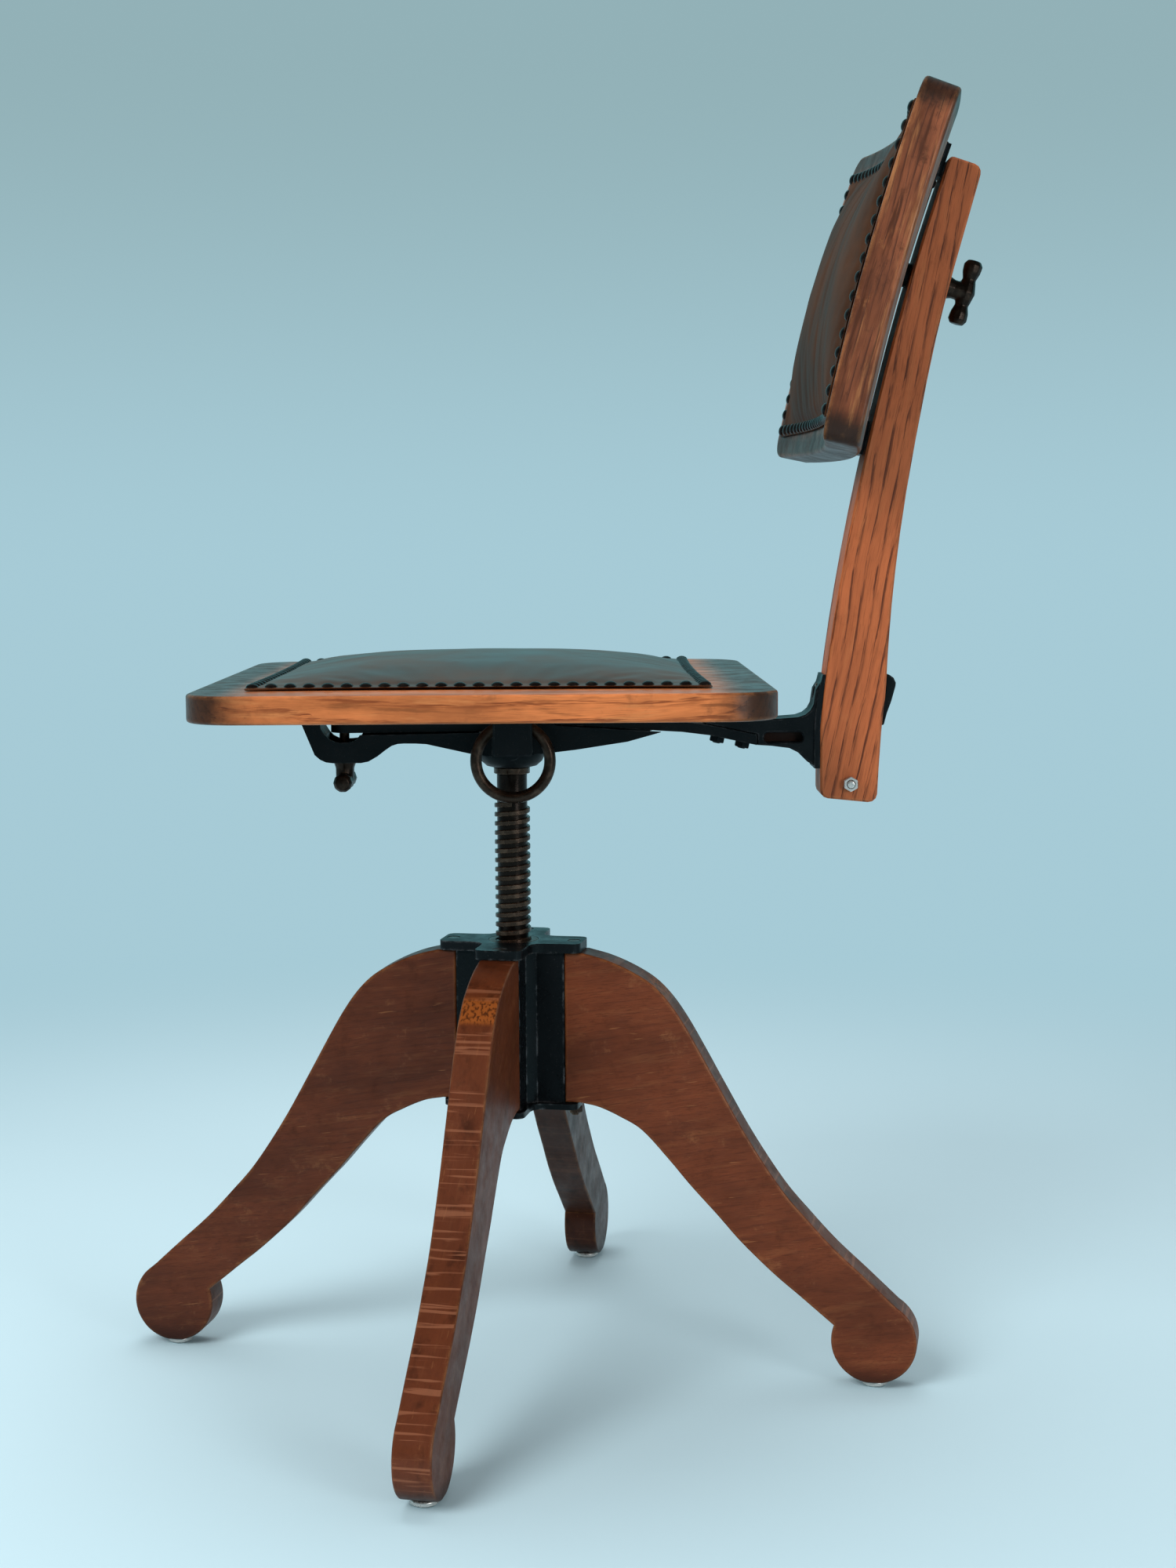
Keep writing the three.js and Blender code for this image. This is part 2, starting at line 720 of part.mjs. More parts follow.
// Window in the loop as [share of the front reach, share of the window's depth].
const loopShares = [
  [0.88, 0], [0.876, 0.636], [0.858, 0.8], [0.84, 0.909], [0.814, 0.986], [0.79, 1.009], [0.751, 1],
  [0.727, 0.986], [0.707, 0.909], [0.697, 0.818],
];

function armLower() {
  return [
    ...frontArmShares.map(([y, z]) => [-y * ironFrontReach, ironTop - z * ironDepth]),
    ...rearArmShares.map(([y, z]) => [y * ironRearReach, ironTop - z * ironDepth]),
  ];
}

// Underside of the spring bar as [reach, drop below the fulcrum], from its front tip to its rear end.
const barFrontShares = [[1, 1], [0.912, 1], [0.6, 0.95], [0.22, 0.83], [0, 0.36]];
const barRearShares = [[0.467, 0.577], [0.598, 0.942], [0.696, 1.154], [0.81, 1.673], [1, 3.135]];

function barUnder() {
  return [
    ...barFrontShares.map(([y, z]) => [-y * barFrontReach, fulcrumHeight - z * barBow]),
    [fulcrumReach, fulcrumHeight],
    ...barRearShares.map(([y, z]) => [y * barRearReach, fulcrumHeight - z * barBow]),
  ];
}

// Height of a run of places [y, z] at a given y.
function heightAt(places, y) {
  const i = Math.max(1, places.findIndex(([place]) => place >= y));
  const [[y0, z0], [y1, z1]] = [places[i - 1], places[i]];
  return z0 + ((z1 - z0) * (y - y0)) / (y1 - y0);
}

function armBlank() {
  const lower = armLower().map(([y, z]) => at(y, z));
  const under = barUnder();
  const rearTop = heightAt(under, ironRearReach) - runningGap;
  const fulcrumTop = heightAt(under, fulcrumReach - fulcrumHalf) - gap;
  const window = loopShares.map(([y, z]) => at(-y * ironFrontReach, ironTop - z * loopDepth)).reverse();
  return sidePlate(outline(
    lower,
    [
      at(ironRearReach, rearTop),
      at(fulcrumReach, fulcrumTop),
      at(sidePlateHalf, ironTop - cheekRise / 2),
      at(sidePlateHalf, ironTop),
      at(-sidePlateHalf, ironTop),
      at(-sidePlateHalf, ironTop - cheekRise),
    ],
    window,
  ), cheekOuter * 2);
}

// The hollow of the channel, open upwards, with no floor behind rearFloorReach.
function channelCut() {
  const front = -loopShares[0][0] * ironFrontReach + ironFloor;
  const floor = armLower().filter(([y]) => y > front && y < rearFloorReach).map(([y, z]) => at(y, z + ironFloor));
  const floorEnd = heightAt(armLower(), rearFloorReach) + ironFloor;
  const above = ironTop + overrun;
  const behind = ironRearReach + overrun;
  return sidePlate(outline(
    [at(front, above), at(front, ironTop - loopDepth)],
    floor,
    [at(rearFloorReach, floorEnd), at(rearFloorReach, loopBottom), at(behind, loopBottom), at(behind, above)],
  ), cheekInner * 2);
}

// Turn of the bowl under the seat, as [share from its foot to its side, share of its floor].
const bowlShares = [[0, 0], [0.45, 0.12], [0.82, 0.46], [1, 0.9]];

function seatIron() {
  const bowlShell = turned([
    [0, bowlBottom],
    ...bowlShares.map(([r, z]) => [bowlFoot + (bowlRadius - bowlFoot) * r, bowlBottom + bowlFloor * z]),
    [bowlRadius, bowlTop], [0, bowlTop],
  ], largeSides);
  const sleeve = alongX(rod(sleeveRadius, journalRadius, sleeveReach, middleSides)).translate(0, 0, plungerAxis);
  const plateBottom = ironTop - sidePlateThickness;
  const plates = [-1, 1].map((side) => plate(cornered([
    [side * cheekInner, -sidePlateHalf], [side * sidePlateReach, -sidePlateHalf, hubFlangeCorner],
    [side * sidePlateReach, sidePlateHalf, hubFlangeCorner], [side * cheekInner, sidePlateHalf],
  ]), sidePlateThickness).translate(0, 0, plateBottom));
  const lowest = Math.min(...[-1, 1].map((side) => heightAt(barUnder(), fulcrumReach + side * fulcrumHalf)));
  const ridge = block(
    -cheekInner - gap, cheekInner + gap, fulcrumReach - fulcrumHalf, fulcrumReach + fulcrumHalf,
    heightAt(armLower(), fulcrumReach) + gap, lowest - gap,
  );
  const cavity = rod(bowlCavity, cavityBottom, bowlTop + overrun, largeSides);
  const bore = rod(journalRadius + gap, bowlBottom - overrun, cavityBottom + gap, middleSides);
  const springRoom = alongX(rod(springBore, bowlCavity / 2, sleeveReach - sleeveWall, middleSides))
    .translate(0, 0, plungerAxis);
  const plungerHole = alongX(rod(plungerRadius + gap, bowlCavity / 2, sleeveReach + overrun, middleSides))
    .translate(0, 0, plungerAxis);
  const boltHole = rod(tensionRadius + tensionClearance, loopBottom - overrun, ironTop - loopDepth + overrun)
    .translate(0, -tensionReach, 0);
  const screwHoles = screwPlaces().map(([x, y]) => rod(
    screwRadius + gap, plateBottom - overrun, ironTop + overrun,
  ).translate(x, y, 0));
  const casting = join(cut(armBlank(), channelCut()), bowlShell, sleeve, ...plates, ridge);
  return piece(
    'seat_iron',
    cut(casting, cavity, bore, springRoom, plungerHole, boltHole, ...screwHoles),
    blackIron,
  );
}

function screwPlaces() {
  return [-1, 1].flatMap((side) => [-1, 1].map((end) => [side * screwReach, end * screwSpread]));
}

function seatScrew([x, y], k) {
  const seat = ironTop - sidePlateThickness - gap;
  const places = [
    [0, seat - screwHeadThickness], [screwHead * headTopShare, seat - screwHeadThickness],
    [screwHead, seat - screwHeadThickness * headSideShare],
    [screwHead, seat], [screwRadius, seat], [screwRadius, boardBottom + screwLength - screwRadius],
    [0, boardBottom + screwLength],
  ];
  return piece(`seat_screw_${k + 1}`, turned(places).translate(x, y, 0), bronzedSteel);
}

// Lock plunger

function lockPlunger() {
  const collarOuter = plungerCollarInner + plungerCollarThickness;
  const rodEnd = headInner + headInnerWall / 2;
  const rodBody = alongX(turned([
    [0, tipReach], [plungerRadius, tipReach], [plungerRadius, plungerCollarInner],
    [plungerCollarRadius, plungerCollarInner], [plungerCollarRadius, collarOuter], [plungerRadius, collarOuter],
    [plungerRadius, rodEnd], [0, rodEnd],
  ], middleSides)).translate(0, 0, plungerAxis);
  const headFront = headSide - headWidth / 2;
  const headBack = headSide + headWidth / 2;
  const shape = cornered([
    [headFront, headBottom, headEdge * 2], [headBack, headBottom, headEdge * 2],
    [headBack, headTop, headEdge * 2], [headFront, headTop, headEdge * 2],
  ]);
  const head = sidePlate(shape, headLength, headEdge).translate(headInner + headLength / 2, 0, 0);
  const slot = block(
    headInner + headInnerWall, headInner + headLength - headOuterWall,
    headFront - overrun, headBack + overrun, slotTop - slotHeight, slotTop,
  );
  return piece('lock_plunger', join(rodBody, cut(head, slot)), blackIron);
}

function plungerSpring() {
  const start = plungerCollarInner + plungerCollarThickness + gap + springWire;
  const end = sleeveReach - sleeveWall - gap - springWire;
  const curlSteps = 8;
  const wireSides = 5;
  const nextCurlShare = 0.7; // of a turn, past which a place belongs to another curl
  const centre = (turn) => {
    const angle = turn * 2 * Math.PI;
    return space(
      start + ((end - start) * turn) / springCoils,
      springRadius * Math.sin(angle),
      plungerAxis + springRadius * Math.cos(angle),
    );
  };
  const turns = stops(0, springCoils, springCoils * curlSteps);
  const rings = turns.map((turn) => {
    const middle = centre(turn);
    const outward = middle.clone().sub(space(middle.x, 0, plungerAxis)).normalize();
    return stops(0, wireSides - 1, wireSides - 1).map((s) => {
      const angle = (s * 2 * Math.PI) / wireSides;
      const side = outward.clone().multiplyScalar(springWire * Math.cos(angle));
      return middle.clone().add(side).add(space(springWire * Math.sin(angle), 0, 0));
    });
  });
  const apart = Math.min(...turns.flatMap((a) => turns.filter((b) => b - a > nextCurlShare)
    .map((b) => centre(a).distanceTo(centre(b)) - springWire * 2)));
  console.log(`plunger spring, least gap between curls: ${apart.toFixed(2)} mm`);
  return piece('plunger_spring', tube(rings), brightSteel);
}

function pullRing() {
  const wireSides = 8;
  const ringSteps = 28;
  const ring = new THREE.TorusGeometry(ringRadius, ringWire, wireSides, ringSteps).rotateY(Math.PI / 2);
  return piece('pull_ring', ring.translate(ringAxisReach, headSide, ringAxisHeight - ringRadius), bronzedSteel);
}

// Spring bar, tension bolt and wing nuts

function springBar() {
  const under = barUnder().map(([y, z]) => at(y, z));
  const over = under.map((p) => at(p.x, p.y + barThickness)).reverse();
  const side = sidePlate(outline(under, over), barWidth);
  const plan = plate(cornered([
    [-barWidth / 2, -barFrontReach, barTipRadius], [barWidth / 2, -barFrontReach, barTipRadius],
    [barWidth / 2, barRearReach], [-barWidth / 2, barRearReach],
  ], 5), ironHeight * 2).translate(0, 0, bowlBottom - ironHeight / 2);
  const boltHole = rod(tensionRadius + tensionClearance, loopBottom, ironTop).translate(0, -tensionReach, 0);
  const shoeHoles = shoeBoltFrames().map((frame) => rod(
    shoeBoltRadius + gap, -barThickness * 2, barThickness * 2,
  ).applyMatrix4(frame));
  return piece('spring_bar', cut(common(side, plan), boltHole, ...shoeHoles), blackIron);
}

function tensionBolt() {
  const seat = heightAt(barUnder(), -tensionReach) + barThickness + tensionHeadGap;
  const rim = seat + tensionHeadCone;
  const places = [
    [0, loopBottom - tensionTail], [tensionRadius, loopBottom - tensionTail], [tensionRadius, seat],
    [tensionHead, rim], [tensionHead, rim + tensionHeadThickness * headSideShare],
    [tensionHead * headTopShare, rim + tensionHeadThickness], [0, rim + tensionHeadThickness],
  ];
  return piece('tension_bolt', turned(places).translate(0, -tensionReach, 0), bronzedSteel);
}

// A wing nut about Z, its base on Z = 0 and its three-lobed bar along X.
function wingNut(boltRadius) {
  const boss = turned([
    [0, 0], [wingBossRadius, 0], [wingBossRadius * bossWaistShare, wingBossHeight * bossFootShare],
    [wingBossTop, wingBossHeight], [wingBossTop, wingHeight - wingLobe], [0, wingHeight - wingLobe],
  ], smallSides);
  const lobeShares = [
    [0, -0.5], [0.7, -0.485], [0.98, -0.42], [0.92, -0.31], [0.66, -0.2], [0.8, -0.14], [1, 0],
    [0.8, 0.14], [0.66, 0.2], [0.92, 0.31], [0.98, 0.42], [0.7, 0.485], [0, 0.5],
  ];
  const lobes = turned(lobeShares.map(([r, x]) => {
    const radius = r === 0 ? 0 : Math.max(r * wingLobe, wingWaist);
    return [radius, x * wingSpan];
  }), 10);
  const bar = alongX(lobes).translate(0, 0, wingHeight - wingLobe);
  const bore = rod(boltRadius + gap, -overrun, wingBoreDepth);
  return cut(join(boss, bar), bore);
}

function frontWingNut() {
  const nut = wingNut(tensionRadius).rotateX(Math.PI).translate(0, -tensionReach, loopBottom - gap);
  return piece('front_wing_nut', nut, bronzedSteel);
}

// Seat board and pad

function seatBoard() {
  const shape = cornered([
    [-boardHalfWidth, -boardFront, boardCorner], [boardHalfWidth, -boardFront, boardCorner],
    [boardHalfWidth, boardBack, boardCorner], [-boardHalfWidth, boardBack, boardCorner],
  ], 6);
  const board = plate(shape, boardThickness, boardEdge).translate(0, 0, boardBottom);
  const holeTop = boardBottom + screwLength + gap;
  const holes = screwPlaces().map(([x, y]) => rod(screwRadius + gap, boardBottom - overrun, holeTop)
    .translate(x, y, 0));
  return piece('seat_board', cut(board, ...holes), edgeOak);
}

// Rise of a stuffed pad over its hem, for places from -1 to 1 across and along.
const padRise = (u, v, full) => (1 - Math.abs(u) ** full) * (1 - Math.abs(v) ** full);
const padStops = [-1, -0.95, -0.87, -0.74, -0.53, -0.27, 0, 0.27, 0.53, 0.74, 0.87, 0.95, 1];
const seatPadFull = 4; // the higher, the flatter the top and the steeper its ends
const backPadFull = 3;

function seatPad() {
  const halfLength = (seatPadFront + seatPadBack) / 2;
  const middle = (seatPadBack - seatPadFront) / 2;
  const across = (u, v) => u * (seatPadHalfWidth - padDraw * (1 - v * v));
  const along = (u, v) => middle + v * (halfLength - padDraw * (1 - u * u));
  const bottom = boardTop + gap;
  const top = (u, v) => {
    const rise = seatPadHem + seatPadCrown * padRise(u, v, seatPadFull);
    return space(across(u, v), along(u, v), bottom + rise);
  };
  const under = (u, v) => space(across(u, v), along(u, v), bottom);
  return piece('seat_pad', slab(padStops, padStops, top, under), brownLeather);
}

// Back post

const arcY = (radius, z) => arcCentreY - Math.sqrt(radius ** 2 - (z - arcCentreZ) ** 2);

// Front face of the post at a height: upright at the foot, then swelling into the arc.
function postFront(z) {
  if (z <= postArcStart) return postFace;
  const swell = 1 - THREE.MathUtils.smoothstep(z, postArcStart, postArcStart + swellRun);
  return arcY(postArcRadius, z) - postSwell * swell;
}

// Depth of the post as [share of its height, share of its greatest depth], from top to foot.
const postDepthShares = [
  [0.983, 0.567], [0.943, 0.611], [0.803, 0.659], [0.684, 0.704], [0.496, 0.79], [0.36, 0.87],
  [0.2525, 0.948], [0.1775, 1.005], [0.121, 1], [0.0075, 0.926],
];

function postRearPlaces() {
  return postDepthShares.map(([share, depth]) => {
    const z = postBottom + share * postHeight;
    return [postFront(z) + depth * postDepth, z];
  });
}

// Rear face of the post at a height.
function postRear(z) {
  const places = postRearPlaces().map(([y, height]) => [height, y]).reverse();
  return heightAt(places, z);
}

function backPost() {
  const top = postBottom + postHeight;
  const rear = curvePoints(postRearPlaces(), 20);
  const cornerRoom = postCorner * 2;
  const corners = [
    [postFace, postBottom + postBottomSlant, postCorner],
    ...stops(postArcStart, top, 16).map((z) => [postFront(z), z, z === top ? postCorner / 2 : 0]),
    [rear[0].x + postCorner * postTopShare, top - postTopSlant, postCorner],
    ...rear.filter((p) => p.y > postBottom + cornerRoom && p.y < top - postTopSlant - cornerRoom)
      .map((p) => [p.x, p.y]),
    [rear.at(-1).x, postBottom, postCorner],
  ];
  const body = sidePlate(cornered(corners), postWidth, postEdge);
  const crossHole = alongX(rod(crossBoltRadius + gap, -postWidth, postWidth))
    .translate(0, postFace + crossBoltSet, crossBoltHeight);
  const clampHole = alongY(rod(clampBoltRadius + gap, 0, postRear(clampBoltHeight) + overrun))
    .translate(0, 0, clampBoltHeight);
  const trackHole = alongY(rod(trackBoltRadius + gap, -overrun, postDepth)).applyMatrix4(trackFrame());
  return piece('back_post', cut(body, crossHole, clampHole, trackHole), edgeOak);
}

function crossBolt() {
  const end = postWidth / 2 + gap + crossNutThickness + crossBoltTail;
  const seat = -postWidth / 2 - gap;
  const places = [
    [0, seat - crossBoltHeadThickness], [crossBoltHead * headTopShare, seat - crossBoltHeadThickness],
    [crossBoltHead, seat - crossBoltHeadThickness * headSideShare], [crossBoltHead, seat], [crossBoltRadius, seat],
    [crossBoltRadius, end - crossBoltTail / 2], [crossBoltRadius * headTopShare, end], [0, end],
  ];
  const bolt = alongX(turned(places)).translate(0, postFace + crossBoltSet, crossBoltHeight);
  return piece('cross_bolt', bolt, brightSteel);
}

function crossBoltNut() {
  const nut = hexNut(crossNutFlats, crossNutThickness, crossBoltRadius + gap).translate(0, 0, postWidth / 2 + gap);
  return piece('cross_bolt_nut', alongX(nut).translate(0, postFace + crossBoltSet, crossBoltHeight), brightSteel);
}

// Back shoe: outline as [share of its reach in front of the post, share of its height].
const shoeUpperShares = [
  [0.04, 0.84], [0.05, 0.76], [0.06, 0.681], [0.087, 0.62], [0.13, 0.575], [0.192, 0.548], [0.376, 0.531],
  [0.558, 0.541], [0.8, 0.575], [0.95, 0.595], [0.99, 0.56], [1, 0.52],
];
const shoeLowerShares = [[0.428, 0.242], [0.27, 0.2165], [0.192, 0.168], [0.113, 0.07], [0.06, 0.03]];
const shoeWindowShares = [[0.49, 0.28], [0.15, 0.28], [0.15, 0.385], [0.49, 0.385]];
const shoeBoltShares = [0.19, 0.73]; // places along the flat of the bar that the shoe lies on

const onShoe = ([reach, rise]) => [postFace + gap - reach * shoeReach, shoeBottom + rise * shoeHeight];

// The flat at the rear end of the bar, as its front and rear places on the underside.
function barFlat() {
  return barUnder().slice(-2);
}

// Frames of the shoe bolts: origin on the bar's underside, Z square to the bar.
function shoeBoltFrames() {
  const [[y0, z0], [y1, z1]] = barFlat();
  const slope = Math.atan2(z1 - z0, y1 - y0);
  return shoeBoltShares.map((share) => new THREE.Matrix4().makeRotationX(slope)
    .setPosition(0, y0 + (y1 - y0) * share, z0 + (z1 - z0) * share));
}

function shoe() {
  const under = barUnder();
  const tip = postFace + gap - shoeReach;
  const over = (y) => heightAt(under, y) + barThickness + gap;
  const bend = under.at(-2)[0];
  const heel = barRearReach + gap;
  const flangeTop = shoeBottom + shoeHeight;
  const face = stops(shoeBottom, flangeTop, 5).map((z) => [postFront(z) - gap, z]);
  const lower = [[heel, heightAt(under, barRearReach)], ...shoeLowerShares.map(onShoe)];
  const upper = shoeUpperShares.map(onShoe);
  const onBar = [[tip, over(tip)], [bend, over(bend)], [heel, over(barRearReach)]];
  const body = cornered([...lower, ...face, ...upper, ...onBar]);
  body.holes.push(new THREE.Path(
    cornered(shoeWindowShares.map(onShoe).map(([y, z]) => [y, z, shoeWindowRound])).getPoints().reverse(),
  ));
  const flange = cornered([
    ...face,
    [postFront(flangeTop) - gap - shoeFlangeThickness / 2, flangeTop],
    ...[...face].reverse().slice(1).map(([y, z]) => [y - shoeFlangeThickness, z]),
  ]);
  const pockets = shoeBoltFrames().flatMap((frame) => [
    rod(shoeBoltRadius + gap, 0, shoeHeight).applyMatrix4(frame),
    rod(shoeBoltHead + gap, barThickness + shoePlateSeat, shoeHeight).applyMatrix4(frame),
  ]);
  const clampHole = alongY(rod(clampBoltRadius + gap, barRearReach, postFace + overrun))
    .translate(0, 0, clampBoltHeight);
  const sink = postFront(clampBoltHeight) - gap - shoeFlangeThickness + clampBoltHeadThickness;
  const headHole = alongY(rod(clampBoltHead + gap, barRearReach, sink)).translate(0, 0, clampBoltHeight);
  const casting = join(sidePlate(body, barWidth, shoeEdge), sidePlate(flange, shoeFlangeWidth));
  return piece('back_shoe', cut(casting, ...pockets, clampHole, headHole), blackIron);
}

function shoeBolt(frame, k) {
  const seat = barThickness + shoePlateSeat + gap;
  const tail = -gap - shoeNutThickness - shoeBoltTail;
  const places = [
    [0, tail], [shoeBoltRadius, tail], [shoeBoltRadius, seat], [shoeBoltHead, seat],
    [shoeBoltHead, seat + shoeBoltHeadThickness * headSideShare],
    [shoeBoltHead * headTopShare, seat + shoeBoltHeadThickness],
    [0, seat + shoeBoltHeadThickness],
  ];
  return piece(`shoe_bolt_${k + 1}`, turned(places).applyMatrix4(frame), blackIron);
}

function shoeNut(frame, k) {
  const nut = hexNut(shoeNutFlats, shoeNutThickness, shoeBoltRadius + gap).translate(0, 0, -gap - shoeNutThickness);
  return piece(`shoe_bolt_nut_${k + 1}`, nut.applyMatrix4(frame), blackIron);
}

// Clamp plate: how far it stands off the post's rear face, as [share of its height, share of its
// thickness], from its foot up.
const clampShares = [[0, 0.25], [0.235, 0.42], [0.47, 0.72], [0.76, 0.98], [0.83, 1], [0.93, 0.75], [1, 0.25]];

function clampPlate() {
  const bottom = clampTop - clampHeight;
  const inner = stops(bottom, clampTop, 4).map((z) => [postRear(z) + gap, z]).reverse();
  const outer = clampShares.map(([rise, off]) => {
    const z = bottom + rise * clampHeight;
    return [postRear(z) + gap + off * clampThickness, z];
  });
  const body = sidePlate(cornered([...outer, ...inner]), clampWidth);
  const hole = alongY(rod(clampBoltRadius + gap, postFace, postRear(clampBoltHeight) + gap + clampThickness / 2))
    .translate(0, 0, clampBoltHeight);
  return piece('clamp_plate', cut(body, hole), blackIron);
}

function clampBolt() {
  const seat = postFront(clampBoltHeight) - gap - shoeFlangeThickness + clampBoltHeadThickness - gap;
  const end = postRear(clampBoltHeight) + clampThickness / 2 - gap;
  const places = [
    [0, seat - clampBoltHeadThickness], [clampBoltHead, seat - clampBoltHeadThickness], [clampBoltHead, seat],
    [clampBoltRadius, seat], [clampBoltRadius, end], [0, end],
  ];
  return piece('clamp_bolt', alongY(turned(places)).translate(0, 0, clampBoltHeight), bronzedSteel);
}

// Back

// A place on the back: x across, radius from the centre of the arcs, and distance up the arc from
// the middle of the back board, measured at the post's face.
function onArc(x, radius, rise) {
  const angle = backCentreAngle + rise / postArcRadius;
  return space(x, arcCentreY - radius * Math.cos(angle), arcCentreZ + radius * Math.sin(angle));
}

// Frame of the track bolt: origin on the post's face, Y to the rear and square to the face.
function trackFrame() {
  const angle = backCentreAngle + trackBoltLift / postArcRadius;
  return new THREE.Matrix4().makeRotationX(-angle).setPosition(onArc(0, postArcRadius, trackBoltLift));
}

// A block bent to the arc, between two radii and two distances up the arc.
function arcBlock(halfWidth, inner, outer, from, to, steps) {
  const sheet = (radius) => (u, v) => onArc(u * halfWidth, radius, v);
  return slab([-1, 1], stops(from, to, steps), sheet(outer), sheet(inner));
}

// Rows up a board with rounded corners, and the half width and easing of its edge at each.
function boardRows(halfLength, round, edge) {
  const bends = stops(0, Math.PI / 2, cornerSteps).map((angle) => halfLength - round + round * Math.sin(angle));
  const ends = [...bends.slice(0, -1), halfLength - edge, halfLength].sort((a, b) => a - b);
  const middle = stops(-(halfLength - round), halfLength - round, 7).slice(1, -1);
  return [...ends.map((v) => -v).reverse(), ...middle, ...ends];
}

function backBoard() {
  const boardColumns = 10;
  const halfLength = backLength / 2;
  const widthAt = (v) => {
    const into = Math.max(0, Math.abs(v) - (halfLength - backCorner));
    return backHalfWidth - backCorner + Math.sqrt(backCorner ** 2 - Math.min(into, backCorner) ** 2);
  };
  const easing = (u, v) => {
    const side = backEdge - Math.min(backEdge, (1 - Math.abs(u)) * backHalfWidth);
    const end = backEdge - Math.min(backEdge, halfLength - Math.abs(v));
    return Math.max(side, end);
  };
  const bend = (x) => backSagitta * (x / backHalfWidth) ** 2;
  const sheet = (radius, inward) => (u, v) => {
    const x = u * widthAt(v);
    return onArc(x, radius + bend(x) + inward * easing(u, v), v);
  };
  const edgeStop = 1 - backEdge / backHalfWidth;
  const columns = [-1, -edgeStop, ...stops(-edgeStop, edgeStop, boardColumns).slice(1, -1), edgeStop, 1];
  const front = sheet(backBoardRear + backThickness, -1);
  const rear = sheet(backBoardRear, 1);
  const body = slab(columns, boardRows(halfLength, backCorner, backEdge), front, rear);
  const groove = arcBlock(
    grooveHalfWidth, backBoardRear - overrun, backBoardRear + grooveDepth,
    trackBoltLift - trackSlotDown - trackBoltHead, trackBoltLift + trackSlotUp + trackBoltHead, 4,
  );
  const holes = trackScrewFrames().map((frame) => alongY(rod(
    trackScrewRadius + gap, -trackScrewLength - gap, overrun,
  )).applyMatrix4(frame));
  return piece('back_board', cut(body, groove, ...holes), darkOak);
}

function backPad() {
  const halfLength = backPadLength / 2;
  const across = (u, v) => u * (backPadHalfWidth - padDraw * (1 - (v / halfLength) ** 2));
  const along = (u, v) => v * (1 - (padDraw / halfLength) * (1 - u * u));
  const seat = backBoardRear + backThickness + gap;
  const bend = (x) => backSagitta * (x / backHalfWidth) ** 2;
  const front = (u, v) => {
    const x = across(u, v * halfLength);
    const rise = backPadHem + backPadCrown * padRise(u, v, backPadFull);
    return onArc(x, seat + bend(x) + rise, along(u, v * halfLength));
  };
  const rear = (u, v) => {
    const x = across(u, v * halfLength);
    return onArc(x, seat + bend(x), along(u, v * halfLength));
  };
  return piece('back_pad', slab(padStops, padStops, front, rear), brownLeather);
}

function heightTrack() {
  const face = backBoardRear - gap;
  const strapRear = face - trackThickness;
  const top = trackBoltLift + trackUp;
  const bottom = trackBoltLift - trackDown;
  const strap = arcBlock(trackHalfWidth, strapRear, face, bottom, top, 8);
  const lugs = [[bottom, bottom + trackLugLength], [top - trackLugLength, top]].map(([from, to]) => arcBlock(
    trackHalfWidth * lugWidthShare, strapRear - trackLugThickness, strapRear + gap, from, to, 2,
  ));
  const slotHalf = trackBoltRadius + trackBoltClearance;
  const slot = arcBlock(
    slotHalf, strapRear - overrun, face + overrun, trackBoltLift - trackSlotDown, trackBoltLift + trackSlotUp, 4,
  );
  const holes = trackScrewFrames().map((frame) => alongY(rod(
    trackScrewRadius + gap, -overrun, trackThickness + overrun,
  )).applyMatrix4(frame));
  return piece('height_track', cut(join(strap, ...lugs), slot, ...holes), blackIron);
}

// Frames of the track screws: origin on the rear of the back board, Y to the rear.
function trackScrewFrames() {
  const rises = [trackBoltLift + trackUp - trackScrewEnd, trackBoltLift - trackDown + trackScrewEnd];
  return rises.flatMap((rise) => [-1, 1].map((side) => new THREE.Matrix4()
    .makeRotationX(-backCentreAngle - rise / postArcRadius)
    .setPosition(onArc(side * trackScrewSide, backBoardRear, rise))));
}

function trackScrew(frame, k) {
  const seat = gap * 2 + trackThickness;
  const places = [
    [0, -trackScrewLength], [trackScrewRadius, trackScrewRadius - trackScrewLength], [trackScrewRadius, seat],
    [trackScrewHead, seat], [trackScrewHead * headTopShare, seat + trackScrewHeadThickness],
    [0, seat + trackScrewHeadThickness],
  ];
  return piece(`track_screw_${k + 1}`, alongY(turned(places)).applyMatrix4(frame), bronzedSteel);
}

function trackBolt() {
  const frame = trackFrame();
  const headRear = -backStandOff - gap;
  const rear = postRearAlong();
  const places = [
    [0, headRear - trackBoltHeadThickness], [trackBoltHead, headRear - trackBoltHeadThickness],
    [trackBoltHead, headRear], [trackBoltRadius, headRear], [trackBoltRadius, rear + trackBoltTail],
    [0, rear + trackBoltTail],
  ];
  return piece('track_bolt', alongY(turned(places)).applyMatrix4(frame), bronzedSteel);
}

// Depth of the post along the track bolt's axis.
function postRearAlong() {
  const toFrame = trackFrame().invert();
  const places = curvePoints(postRearPlaces(), 40).map((p) => space(0, p.x, p.y).applyMatrix4(toFrame));
  const nearest = places.reduce((best, p) => (Math.abs(p.z) < Math.abs(best.z) ? p : best));
  return nearest.y;
}

function trackSpacer() {
  const front = trackThickness + gap * 2 - backStandOff;
  const ring = collar(spacerRadius, trackBoltRadius + gap, front, -gap, middleSides);
  return piece('track_spacer', alongY(ring).applyMatrix4(trackFrame()), blackIron);
}

function rearWingNut() {
  const nut = alongY(wingNut(trackBoltRadius).rotateZ(Math.PI / 2));
  nut.translate(0, postRearAlong() + gap, 0);
  return piece('rear_wing_nut', nut.applyMatrix4(trackFrame()), bronzedSteel);
}

// The chair

